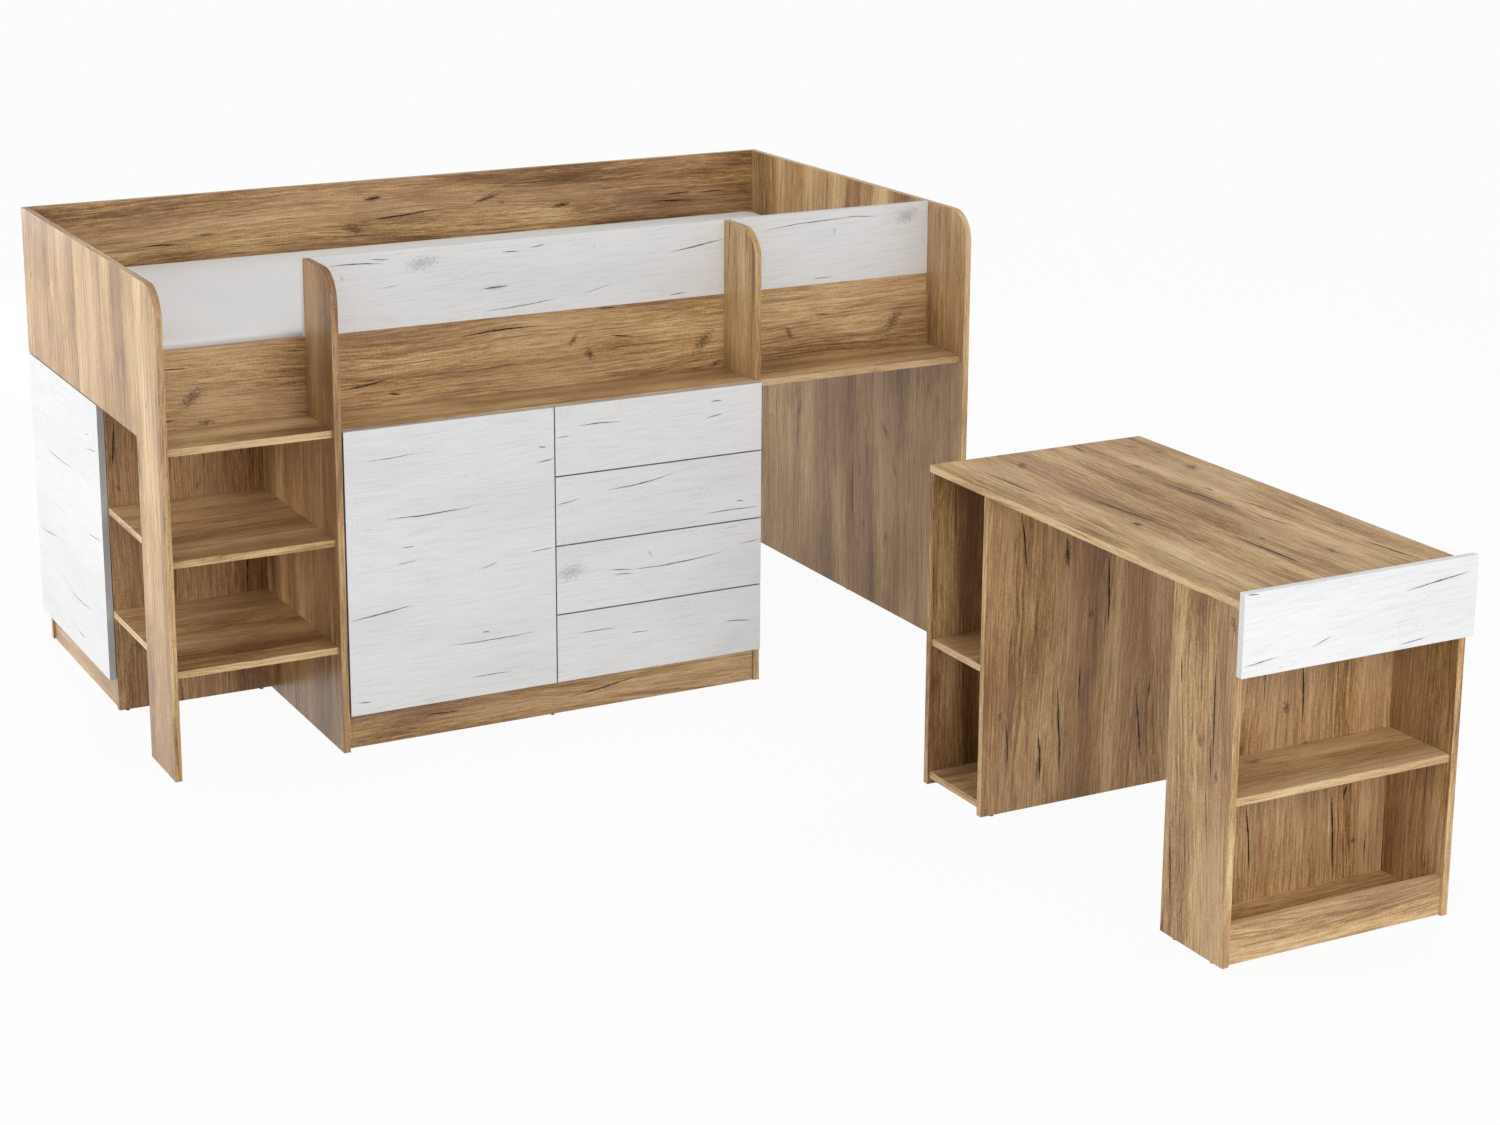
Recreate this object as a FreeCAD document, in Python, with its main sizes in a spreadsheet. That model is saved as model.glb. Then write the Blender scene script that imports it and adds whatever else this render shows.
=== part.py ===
import FreeCAD, Part
import Sketcher
import math
import os
from types import SimpleNamespace

# Mid sleeper: a raised single bed over a cupboard, a chest of drawers, steps and an alcove,
# with a desk that slides out of the alcove. X runs along the bed from its left end, Y from its
# front towards the wall and Z up from the floor. The origin is on the floor, under the middle
# of the whole set with the desk pulled out.

DIMENSIONS = {
    # Boards and the small gaps between them
    "board": 16.0,
    "thin_board": 3.0,
    "front_gap": 3.0,
    "running_gap": 0.3,
    "overrun": 5.0,
    # Bed outline
    "bed_length": 2032.0,
    "bed_depth": 1113.0,
    "floor_gap": 4.0,
    "corner_radius": 72.0,
    "leg_width": 180.0,
    "end_panel_drop": 4.0,
    # Rails, dividers and ledges
    "guard_front": 177.0,
    "guard_height": 179.0,
    "front_rail_height": 179.0,
    "ledge_top": 752.0,
    "cabinet_left": 392.0,
    "divider_left": 1448.0,
    # Bed base and mattress
    "batten_width": 30.0,
    "batten_height": 23.0,
    "slat_width": 70.0,
    "slat_thickness": 18.0,
    "slat_clearance": 1.0,
    "slat_end_gap": 40.0,
    "mattress_thickness": 156.0,
    "mattress_clearance": 3.0,
    "mattress_corner": 40.0,
    "mattress_edge": 16.0,
    "mattress_crown": 6.0,
    "mattress_crown_run": 160.0,
    "mattress_draw_in": 5.0,
    "mattress_waist": 2.5,
    # Cabinets and their fronts
    "partition_centre": 920.5,
    "cabinet_floor": 84.0,
    "end_floor": 77.0,
    "front_stand_off": 2.0,
    "front_lift": 4.0,
    "side_gap": 4.0,
    "drawer_overlay": 9.0,
    "plinth_recess": 5.0,
    "shelf_recess": 20.0,
    "wall_front": 504.0,
    "end_door_reveal": 3.0,
    # Drawers and runners
    "drawer_board": 12.0,
    "drawer_side_lift": 25.0,
    "drawer_top_space": 31.0,
    "drawer_bottom_lift": 8.0,
    "drawer_rear_gap": 34.0,
    "runner_space": 13.0,
    "runner_height": 36.0,
    "runner_width": 10.0,
    "runner_wall": 2.0,
    # Hinges
    "hinge_cup_radius": 17.5,
    "hinge_cup_depth": 11.5,
    "hinge_cup_inset": 22.5,
    "hinge_end_inset": 100.0,
    "hinge_flange_height": 56.0,
    "hinge_flange_width": 18.0,
    "hinge_flange_thickness": 1.0,
    "hinge_arm_height": 14.0,
    "hinge_arm_length": 70.0,
    "hinge_plate_height": 50.0,
    "hinge_plate_length": 36.0,
    "hinge_plate_thickness": 3.0,
    # Cam locks and glides
    "cam_radius": 7.5,
    "cam_depth": 12.5,
    "cam_clearance": 0.1,
    "cam_end_inset": 34.0,
    "cam_edge_inset": 60.0,
    "glide_radius": 6.0,
    "glide_taper": 1.5,
    # Desk
    "desk_travel": 1824.0,
    "desk_clearance": 1.5,
    "desk_overhang": 5.0,
    "desk_headroom": 10.0,
    "desk_length": 1067.0,
    "desk_front_height": 162.0,
    "desk_front_rise": 18.0,
    "bookcase_width": 231.0,
    "pedestal_depth": 195.0,
    "desk_shelf_top": 339.0,
    "desk_floor": 18.0,
    "desk_shelf_recess": 5.0,
    "desk_plinth_bottom": 6.0,
    "desk_plinth_top": 87.0,
}

DRAWER_COUNT = 4
SLAT_COUNT = 14
RISE_COUNT = 3
GLIDE_SHARES = (0.06, 0.94)
LEG_GLIDE_SHARES = (0.2, 0.8)
END_PANEL_GLIDE_SHARES = (0.04, 0.5, 0.96)


class Size:
    """A length, with its value in millimetres and the sheet formula that it comes from."""

    def __init__(self, value, formula):
        self.value = value
        self.formula = formula

    def __add__(self, other):
        return Size(self.value + other.value, f"({self.formula} + {other.formula})")

    def __sub__(self, other):
        return Size(self.value - other.value, f"({self.formula} - {other.formula})")

    def __mul__(self, share):
        return Size(self.value * share, f"({self.formula} * {share})")

    def __truediv__(self, count):
        return Size(self.value / count, f"({self.formula} / {count})")


def fill_sheet(sheet):
    """Writes the driving dimensions to the sheet and reads them back as sizes."""
    for row, (alias, value) in enumerate(DIMENSIONS.items(), start=1):
        sheet.set(f"A{row}", alias)
        sheet.set(f"B{row}", str(value))
        sheet.setAlias(f"B{row}", alias)
    sheet.recompute()
    return SimpleNamespace(**{alias: Size(sheet.get(alias), f"dims.{alias}") for alias in DIMENSIONS})


doc = FreeCAD.newDocument("mid_sleeper")
d = fill_sheet(doc.addObject("Spreadsheet::Sheet", "dims"))
zero = Size(0.0, "0")
nodes = []

origin_x = d.bed_length / 2
origin_y = (d.bed_depth - d.desk_travel) / 2


def place(item, x, y, z):
    """Ties the corner or centre that an item is built from to three sheet formulas."""
    for axis, size in zip("xyz", (x - origin_x, y - origin_y, z)):
        item.setExpression(f"Placement.Base.{axis}", size.formula)


def box(name, x, y, z):
    """A block that fills three spans, each a pair of its low and high place."""
    item = doc.addObject("Part::Box", name)
    for side, (low, high) in zip(("Length", "Width", "Height"), (x, y, z)):
        item.setExpression(side, (high - low).formula)
    place(item, x[0], y[0], z[0])
    return item


def rod(name, axis, start, radius, length):
    """A round bar from a start point along X, Y or Z."""
    turns = {
        "X": FreeCAD.Rotation(FreeCAD.Vector(0, 1, 0), 90),
        "Y": FreeCAD.Rotation(FreeCAD.Vector(1, 0, 0), -90),
        "Z": FreeCAD.Rotation(),
    }
    item = doc.addObject("Part::Cylinder", name)
    item.setExpression("Radius", radius.formula)
    item.setExpression("Height", length.formula)
    item.Placement = FreeCAD.Placement(FreeCAD.Vector(), turns[axis])
    place(item, *start)
    return item


def group(name, members):
    """Several separate solids kept together."""
    item = doc.addObject("Part::Compound", name)
    item.Links = members
    return item


def cut(name, base, tools):
    """A block with other blocks or bars taken out of it."""
    item = doc.addObject("Part::Cut", name)
    item.Base = base
    item.Tool = tools[0] if len(tools) == 1 else group(f"{name}_tools", tools)
    return item


def fuse(name, first, second):
    """Two blocks joined into one solid."""
    item = doc.addObject("Part::Fuse", name)
    item.Base = first
    item.Tool = second
    return item


def keep(item):
    """Lists a finished sub-part, which its label names."""
    nodes.append(item)
    return item


def tie_corner(sketch, line, y, z):
    """Ties the start of a sketch line to the sketch origin, sideways and upwards.

    In a sketch, geometry -1 is the origin and -2 the upright axis, and points 1 and 2 of a line are its ends.
    """
    if y is zero:
        sketch.addConstraint(Sketcher.Constraint("PointOnObject", line, 1, -2))
    else:
        number = sketch.addConstraint(Sketcher.Constraint("DistanceX", -1, 1, line, 1, y.value))
        sketch.setExpression(f"Constraints[{number}]", y.formula)
    number = sketch.addConstraint(Sketcher.Constraint("DistanceY", -1, 1, line, 1, z.value))
    sketch.setExpression(f"Constraints[{number}]", z.formula)


def rounded_panel(name, left, outline):
    """An upright board across X: its outline in Y and Z, the top front corner rounded.

    The outline starts at the bottom front corner and runs up the front edge first.
    """
    body = doc.addObject("PartDesign::Body", name)
    side_plane = next(item for item in body.Origin.OriginFeatures if item.Role == "YZ_Plane")
    sketch = body.newObject("Sketcher::SketchObject", f"{name}_outline")
    sketch.AttachmentSupport = [(side_plane, "")]
    sketch.MapMode = "FlatFace"
    corners = [FreeCAD.Vector(y.value, z.value, 0) for y, z in outline]
    for start, end in zip(corners, corners[1:] + corners[:1]):
        sketch.addGeometry(Part.LineSegment(start, end))
    for line in range(len(outline)):
        following = (line + 1) % len(outline)
        sketch.addConstraint(Sketcher.Constraint("Coincident", line, 2, following, 1))
    for line, (y, z) in enumerate(outline):
        tie_corner(sketch, line, y, z)
    pad = body.newObject("PartDesign::Pad", f"{name}_pad")
    pad.Profile = sketch
    pad.setExpression("Length", d.board.formula)
    place(body, left, zero, zero)
    doc.recompute()
    front_y, top_z = outline[1]
    middle = FreeCAD.Vector(d.board.value / 2, front_y.value, top_z.value)
    edge = min(
        range(len(pad.Shape.Edges)),
        key=lambda number: pad.Shape.Edges[number].CenterOfMass.distanceToPoint(middle))
    fillet = body.newObject("PartDesign::Fillet", f"{name}_corner")
    fillet.Base = (pad, [f"Edge{edge + 1}"])
    fillet.setExpression("Radius", d.corner_radius.formula)
    return keep(body)


def board(name, x, y, z):
    """A plain rectangular board."""
    return keep(box(name, x, y, z))


def around(middle, width):
    """A span of a given width about its middle."""
    return (middle - width / 2, middle + width / 2)


# Places along the bed
inner_left = d.board
inner_right = d.bed_length - d.board
cabinet_inside_left = d.cabinet_left + d.board
divider_right = d.divider_left + d.board
partition_left, partition_right = around(d.partition_centre, d.board)
end_left = d.board + d.front_stand_off
fronts_left = cabinet_inside_left + d.side_gap
fronts_right = d.divider_left + d.drawer_overlay
door_right = d.partition_centre - d.front_gap / 2
drawers_left = d.partition_centre + d.front_gap / 2

# Places from front to back
carcass_front = d.board + d.front_stand_off
guard_back = d.guard_front + d.board
cabinet_rear = d.wall_front + d.board
back_inside = d.bed_depth - d.board
plinth_front = carcass_front + d.plinth_recess
plinth_back = plinth_front + d.board
drawer_rear = cabinet_rear - d.drawer_rear_gap

# Heights
guard_bottom = d.ledge_top + d.front_rail_height
bed_top = guard_bottom + d.guard_height
step_rise = d.ledge_top / RISE_COUNT
ledge_under = d.ledge_top - d.board
end_panel_low = d.ledge_top - d.end_panel_drop
fronts_bottom = d.cabinet_floor + d.front_lift
fronts_top = d.ledge_top - d.front_gap
end_door_bottom = d.end_floor + d.front_lift
end_door_top = end_panel_low - d.front_gap
batten_top = d.ledge_top + d.batten_height
slat_top = batten_top + d.slat_thickness
cupboard_shelf = around((d.cabinet_floor + d.board + ledge_under) / 2, d.board)

cams = []


def cam_board(name, x, y, z, face, spots):
    """A board with cam locks let into its underside or its rear face at a list of spots.

    A spot is a place in X and Y on the underside, or in X and Z on the rear face.
    """
    pockets = []
    for number, (along, across) in enumerate(spots, start=1):
        if face == "under":
            axis = "Z"
            mouth = (along, across, z[0] - d.overrun)
            seat = (along, across, z[0])
        else:
            axis = "Y"
            mouth = (along, y[1] - d.cam_depth, across)
            seat = mouth
        pockets.append(rod(f"{name}_pocket_{number}", axis, mouth,
                           d.cam_radius + d.cam_clearance, d.cam_depth + d.overrun))
        cams.append(rod(f"{name}_cam_{number}", axis, seat, d.cam_radius, d.cam_depth))
    return keep(cut(name, box(f"{name}_blank", x, y, z), pockets))


def make_end_panels():
    """The L-shaped left end, the full right end, the back, the two rails and the dividers."""
    rounded_panel("left_end_panel", zero, [
        (zero, d.floor_gap), (zero, bed_top), (d.bed_depth, bed_top),
        (d.bed_depth, end_panel_low), (d.leg_width, end_panel_low), (d.leg_width, d.floor_gap)])
    rounded_panel("right_end_panel", inner_right, [
        (zero, d.floor_gap), (zero, bed_top), (d.bed_depth, bed_top), (d.bed_depth, d.floor_gap)])
    rounded_panel("cabinet_left_side", d.cabinet_left, [
        (zero, d.floor_gap), (zero, bed_top), (d.guard_front, bed_top),
        (d.guard_front, d.ledge_top), (cabinet_rear, d.ledge_top), (cabinet_rear, d.floor_gap)])
    rounded_panel("middle_divider", d.divider_left, [
        (carcass_front, d.ledge_top), (carcass_front, bed_top),
        (d.guard_front, bed_top), (d.guard_front, d.ledge_top)])
    left_cam = inner_left + d.cam_end_inset
    right_cam = inner_right - d.cam_end_inset
    rail_middle = (d.ledge_top + guard_bottom) / 2
    guard_middle = (guard_bottom + bed_top) / 2
    back_cams = [(along, height) for along in (left_cam, right_cam)
                 for height in (end_panel_low + d.cam_edge_inset, bed_top - d.cam_edge_inset)]
    cam_board("back_panel", (inner_left, inner_right), (back_inside, d.bed_depth),
              (end_panel_low, bed_top), "rear", back_cams)
    cam_board("front_rail", (inner_left, inner_right), (d.guard_front, guard_back),
              (d.ledge_top, guard_bottom), "rear", [(left_cam, rail_middle), (right_cam, rail_middle)])
    cam_board("guard_rail", (d.cabinet_left, inner_right), (d.guard_front, guard_back),
              (guard_bottom, bed_top), "rear",
              [(d.cabinet_left + d.cam_end_inset, guard_middle), (right_cam, guard_middle)])


def make_ledges_and_steps():
    """The two ledges under the front rail and the two steps below the short one."""
    near = carcass_front + d.cam_edge_inset
    far = cabinet_rear - d.cam_edge_inset
    step_far = d.wall_front - d.cam_edge_inset
    leg_spot = (inner_left + d.cam_end_inset, near)
    step_spots = [leg_spot] + [(d.cabinet_left - d.cam_end_inset, across) for across in (near, step_far)]
    ledge_spots = [(along, across)
                   for along in (cabinet_inside_left + d.cam_end_inset, inner_right - d.cam_end_inset)
                   for across in (near, far)]
    cam_board("long_ledge", (cabinet_inside_left, inner_right), (carcass_front, cabinet_rear),
              (ledge_under, d.ledge_top), "under", ledge_spots)
    cam_board("step_ledge", (inner_left, d.cabinet_left), (carcass_front, back_inside),
              (ledge_under, d.ledge_top), "under", step_spots)
    for name, top in (("upper_step", step_rise * 2), ("lower_step", step_rise)):
        cam_board(name, (inner_left, d.cabinet_left), (carcass_front, d.wall_front),
                  (top - d.board, top), "under", step_spots)


def make_centre_cabinet():
    """The fixed boards of the cupboard and the chest of drawers."""
    depth = (carcass_front, cabinet_rear)
    inside = (cabinet_inside_left, d.divider_left)
    floor_top = d.cabinet_floor + d.board
    floor_spots = [(along, across)
                   for along in (cabinet_inside_left + d.cam_end_inset, d.divider_left - d.cam_end_inset)
                   for across in (carcass_front + d.cam_edge_inset, cabinet_rear - d.cam_edge_inset)]
    board("cabinet_right_side", (d.divider_left, divider_right), depth, (d.floor_gap, ledge_under))
    board("cabinet_partition", (partition_left, partition_right), depth, (floor_top, ledge_under))
    cam_board("cabinet_bottom", inside, depth, (d.cabinet_floor, floor_top), "under", floor_spots)
    board("cabinet_shelf", (cabinet_inside_left, partition_left),
          (carcass_front + d.shelf_recess, cabinet_rear), cupboard_shelf)
    board("cabinet_back", (cabinet_inside_left - d.board / 2, d.divider_left + d.board / 2),
          (cabinet_rear, cabinet_rear + d.thin_board), (d.cabinet_floor, ledge_under))
    board("cabinet_plinth", inside, (plinth_front, plinth_back), (d.floor_gap, d.cabinet_floor))


def make_end_cabinet():
    """The fixed boards of the cupboard behind the steps, open towards the left end."""
    along = (end_left, d.cabinet_left)
    inside = (cabinet_rear, back_inside)
    floor_top = d.end_floor + d.board
    floor_spots = [(place_x, place_y)
                   for place_x in (end_left + d.cam_edge_inset, d.cabinet_left - d.cam_edge_inset)
                   for place_y in (cabinet_rear + d.cam_end_inset, back_inside - d.cam_end_inset)]
    board("end_cabinet_front_wall", along, (d.wall_front, cabinet_rear), (d.floor_gap, ledge_under))
    board("end_cabinet_rear_wall", along, (back_inside, d.bed_depth), (d.floor_gap, end_panel_low))
    cam_board("end_cabinet_bottom", along, inside, (d.end_floor, floor_top), "under", floor_spots)
    board("end_cabinet_shelf", (end_left + d.shelf_recess, d.cabinet_left), inside, cupboard_shelf)
    board("end_cabinet_back", (d.cabinet_left, d.cabinet_left + d.thin_board),
          (cabinet_rear, d.bed_depth), (d.end_floor, ledge_under))
    board("end_cabinet_plinth", (end_left + d.plinth_recess, end_left + d.plinth_recess + d.board),
          inside, (d.floor_gap, d.end_floor))


def make_bed_base():
    """Two battens behind the rails and a row of slats across them."""
    low = d.ledge_top
    front_batten = box("front_batten", (inner_left, inner_right), (guard_back, guard_back + d.batten_width),
                       (low, batten_top))
    rear_batten = box("rear_batten", (inner_left, inner_right), (back_inside - d.batten_width, back_inside),
                      (low, batten_top))
    keep(group("slat_battens", [front_batten, rear_batten]))
    across = (guard_back + d.slat_clearance, back_inside - d.slat_clearance)
    first = inner_left + d.slat_end_gap
    pitch = (inner_right - d.slat_end_gap - d.slat_width - first) / (SLAT_COUNT - 1)
    slats = []
    for number in range(SLAT_COUNT):
        left = first + pitch * number
        slats.append(box(f"slat_{number + 1}", (left, left + d.slat_width), across, (batten_top, slat_top)))
    keep(group("bed_slats", slats))


def mattress_ring(length, width, corner, draw_in, height):
    """One level of the mattress: four sides that bow inwards a little between four round corners."""
    half_length = length / 2
    half_width = width / 2
    lean = corner * (1 - math.cos(math.pi / 4))
    edges = []
    for quarter in range(4):
        turn = FreeCAD.Rotation(FreeCAD.Vector(0, 0, 1), 90 * quarter)
        along, across = (half_length, half_width) if quarter % 2 == 0 else (half_width, half_length)
        side_points = [(corner - along, -across), (0, draw_in - across), (along - corner, -across)]
        corner_points = [(along - corner, -across), (along - lean, lean - across), (along, corner - across)]
        for points in (side_points, corner_points):
            turned = [turn.multVec(FreeCAD.Vector(x, y, height)) for x, y in points]
            edges.append(Part.Arc(*turned).toShape())
    return Part.Wire(edges)


def make_mattress():
    """A closed solid with a flat base, a slight waist between its edges and a low crown on top."""
    length = (inner_right - inner_left - d.mattress_clearance * 2).value
    width = (back_inside - guard_back - d.mattress_clearance * 2).value
    edge = d.mattress_edge.value
    thickness = d.mattress_thickness.value
    shoulder = thickness - d.mattress_crown.value
    levels = [
        (zero.value, edge),
        (edge, zero.value),
        (shoulder / 2, d.mattress_waist.value),
        (shoulder - edge, zero.value),
        (shoulder, edge),
        (thickness, d.mattress_crown_run.value),
    ]
    rings = [
        mattress_ring(length - 2 * inset, width - 2 * inset, d.mattress_corner.value,
                      d.mattress_draw_in.value, height)
        for height, inset in levels]
    mattress = doc.addObject("Part::Feature", "mattress")
    mattress.Shape = Part.makeLoft(rings, True, True)
    place(mattress, (inner_left + inner_right) / 2, (guard_back + back_inside) / 2, slat_top)
    keep(mattress)


def hinge_heights(low, high):
    """The heights of a door's hinges, the same distance in from its bottom and top edges."""
    return (low + d.hinge_end_inset, high - d.hinge_end_inset)


hinge_arms = []


def make_centre_door():
    """The cupboard door with cups in its back, and the arms that hold it to the tall side."""
    inner_face = d.board
    flange_face = inner_face + d.hinge_flange_thickness
    low, high = fronts_bottom, fronts_top
    cup_x = fronts_left + d.hinge_cup_inset
    cup_floor = inner_face - d.hinge_cup_depth
    flange_x = around(cup_x, d.hinge_flange_width)
    plate_x = (cabinet_inside_left, cabinet_inside_left + d.hinge_plate_thickness)
    arm_start = flange_face + d.running_gap
    arm_y = (arm_start, arm_start + d.hinge_arm_length)
    plate_y = (arm_y[1] - d.hinge_plate_length, arm_y[1])
    blank = box("centre_door_blank", (fronts_left, door_right), (zero, inner_face), (low, high))
    holes = []
    cups = []
    for number, height in enumerate(hinge_heights(low, high), start=1):
        label = f"centre_hinge_{number}"
        start = (cup_x, cup_floor, height)
        holes.append(rod(f"{label}_hole", "Y", start, d.hinge_cup_radius + d.cam_clearance,
                         d.hinge_cup_depth + d.overrun))
        cup = rod(f"{label}_bowl", "Y", start, d.hinge_cup_radius, d.hinge_cup_depth)
        flange = box(f"{label}_flange", flange_x, (inner_face, flange_face),
                     around(height, d.hinge_flange_height))
        cups.append(fuse(f"{label}_cup", cup, flange))
        arm = box(f"{label}_bar", (plate_x[1], flange_x[1]), arm_y, around(height, d.hinge_arm_height))
        plate = box(f"{label}_plate", plate_x, plate_y, around(height, d.hinge_plate_height))
        hinge_arms.append(fuse(f"{label}_arm", arm, plate))
    keep(cut("centre_door", blank, holes))
    keep(group("centre_door_hinge_cups", cups))


def make_end_door():
    """The door on the short side of the bed, hinged at the wall, with its cups and arms."""
    inner_face = d.board
    flange_face = inner_face + d.hinge_flange_thickness
    low, high = end_door_bottom, end_door_top
    cup_y = d.bed_depth - d.hinge_cup_inset
    cup_floor = inner_face - d.hinge_cup_depth
    flange_y = around(cup_y, d.hinge_flange_width)
    plate_y = (back_inside - d.hinge_plate_thickness, back_inside)
    arm_start = flange_face + d.running_gap
    arm_x = (arm_start, arm_start + d.hinge_arm_length)
    plate_x = (arm_x[1] - d.hinge_plate_length, arm_x[1])
    door_front = d.wall_front + d.end_door_reveal
    blank = box("end_door_blank", (zero, inner_face), (door_front, d.bed_depth), (low, high))
    holes = []
    cups = []
    for number, height in enumerate(hinge_heights(low, high), start=1):
        label = f"end_hinge_{number}"
        start = (cup_floor, cup_y, height)
        holes.append(rod(f"{label}_hole", "X", start, d.hinge_cup_radius + d.cam_clearance,
                         d.hinge_cup_depth + d.overrun))
        cup = rod(f"{label}_bowl", "X", start, d.hinge_cup_radius, d.hinge_cup_depth)
        flange = box(f"{label}_flange", (inner_face, flange_face), flange_y,
                     around(height, d.hinge_flange_height))
        cups.append(fuse(f"{label}_cup", cup, flange))
        arm = box(f"{label}_bar", arm_x, (flange_y[0], plate_y[0]), around(height, d.hinge_arm_height))
        plate = box(f"{label}_plate", plate_x, plate_y, around(height, d.hinge_plate_height))
        hinge_arms.append(fuse(f"{label}_arm", arm, plate))
    keep(cut("end_door", blank, holes))
    keep(group("end_door_hinge_cups", cups))


def runner_channel(name, x, slot_x, y, z):
    """A channel on a cabinet side that a drawer's rail slides in."""
    slot_y = (y[0] - d.overrun, y[1] + d.overrun)
    slot_z = (z[0] + d.runner_wall, z[1] - d.runner_wall)
    return cut(name, box(f"{name}_bar", x, y, z), [box(f"{name}_slot", slot_x, slot_y, slot_z)])


def make_drawers():
    """Four drawers on rails, counted from the top, and the channels that carry them."""
    pitch = (fronts_top - fronts_bottom + d.front_gap) / DRAWER_COUNT
    box_left = partition_right + d.runner_space
    box_right = d.divider_left - d.runner_space
    left_inside = box_left + d.drawer_board
    right_inside = box_right - d.drawer_board
    back_front = drawer_rear - d.drawer_board
    play = d.runner_wall + d.running_gap
    channels = []
    for number in range(1, DRAWER_COUNT + 1):
        label = f"drawer_{number}"
        front_low = fronts_top + d.front_gap - pitch * number
        side_low = front_low + d.drawer_side_lift
        side_high = front_low + pitch - d.drawer_top_space
        bottom_low = side_low + d.drawer_bottom_lift
        bottom_top = bottom_low + d.thin_board
        runner_low = (side_low + side_high - d.runner_height) / 2
        runner_z = (runner_low, runner_low + d.runner_height)
        rail_z = (runner_z[0] + play, runner_z[1] - play)
        runner_y = (carcass_front, drawer_rear)
        board(f"{label}_front", (drawers_left, fronts_right), (zero, d.board),
              (front_low, front_low + pitch - d.front_gap))
        keep(group(f"{label}_box", [
            box(f"{label}_left", (box_left, left_inside), (d.board, drawer_rear), (side_low, side_high)),
            box(f"{label}_right", (right_inside, box_right), (d.board, drawer_rear), (side_low, side_high)),
            box(f"{label}_back", (left_inside, right_inside), (back_front, drawer_rear), (side_low, side_high)),
            box(f"{label}_bottom", (left_inside, right_inside), (d.board, back_front),
                (bottom_low, bottom_top)),
        ]))
        keep(group(f"{label}_rails", [
            box(f"{label}_left_rail", (partition_right + play, box_left), runner_y, rail_z),
            box(f"{label}_right_rail", (box_right, d.divider_left - play), runner_y, rail_z),
        ]))
        channels.append(runner_channel(
            f"{label}_left_channel", (partition_right, partition_right + d.runner_width),
            (partition_right + d.runner_wall, partition_right + d.runner_width + d.overrun),
            runner_y, runner_z))
        channels.append(runner_channel(
            f"{label}_right_channel", (d.divider_left - d.runner_width, d.divider_left),
            (d.divider_left - d.runner_width - d.overrun, d.divider_left - d.runner_wall),
            runner_y, runner_z))
    keep(group("cabinet_runners", channels))


# Desk places, at rest pulled out in front of the alcove
desk_left = divider_right + d.desk_clearance
desk_plate_right = inner_right - d.desk_clearance
desk_right = desk_plate_right - d.desk_overhang
desk_plate_front = zero - d.desk_travel
desk_front = desk_plate_front + d.board
desk_rear = desk_front + d.desk_length
desk_top_high = ledge_under - d.desk_headroom
desk_top_low = desk_top_high - d.board
bookcase_front = desk_rear - d.bookcase_width
pedestal_rear = desk_front + d.pedestal_depth


def make_desk():
    """The desk: a top on a narrow bookcase and a pedestal, with a front plate like a drawer's."""
    width = (desk_left, desk_right)
    upright = (d.floor_gap, desk_top_low)
    above_floor = (d.desk_floor, desk_top_low)
    floor_board = (d.desk_floor, d.desk_floor + d.board)
    shelf = (d.desk_shelf_top - d.board, d.desk_shelf_top)
    plate_top = desk_top_high + d.desk_front_rise
    board("desk_top", width, (desk_front, desk_rear), (desk_top_low, desk_top_high))
    board("desk_front", (desk_left, desk_plate_right), (desk_plate_front, desk_front),
          (plate_top - d.desk_front_height, plate_top))
    rear_inside = desk_rear - d.board
    front_inside = bookcase_front + d.board
    end_inside = desk_right - d.board
    between = (front_inside, rear_inside)
    shelf_x = (desk_left + d.desk_shelf_recess, end_inside)
    board("bookcase_rear_panel", width, (rear_inside, desk_rear), upright)
    board("bookcase_front_panel", width, (bookcase_front, front_inside), upright)
    board("bookcase_end_panel", (end_inside, desk_right), between, above_floor)
    board("bookcase_shelf", shelf_x, between, shelf)
    board("bookcase_bottom", shelf_x, between, floor_board)
    left_inside = desk_left + d.board
    inside = (left_inside, end_inside)
    depth = (desk_front, pedestal_rear)
    back_front = pedestal_rear - d.board
    lip_front = desk_front + d.desk_shelf_recess
    board("pedestal_left_side", (desk_left, left_inside), depth, upright)
    board("pedestal_right_side", (end_inside, desk_right), depth, upright)
    board("pedestal_back", inside, (back_front, pedestal_rear), above_floor)
    board("pedestal_shelf", inside, (lip_front, back_front), shelf)
    board("pedestal_bottom", inside, (lip_front + d.board, back_front), floor_board)
    board("pedestal_plinth", inside, (lip_front, lip_front + d.board),
          (d.desk_plinth_bottom, d.desk_plinth_top))


def glide(name, x, y):
    """A small round foot under a board's edge."""
    item = doc.addObject("Part::Cone", name)
    item.setExpression("Radius1", (d.glide_radius - d.glide_taper).formula)
    item.setExpression("Radius2", d.glide_radius.formula)
    item.setExpression("Height", d.floor_gap.formula)
    place(item, x, y, zero)
    return item


def spread(low, high, shares):
    """Places at given shares of a span."""
    return [low + (high - low) * share for share in shares]


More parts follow.
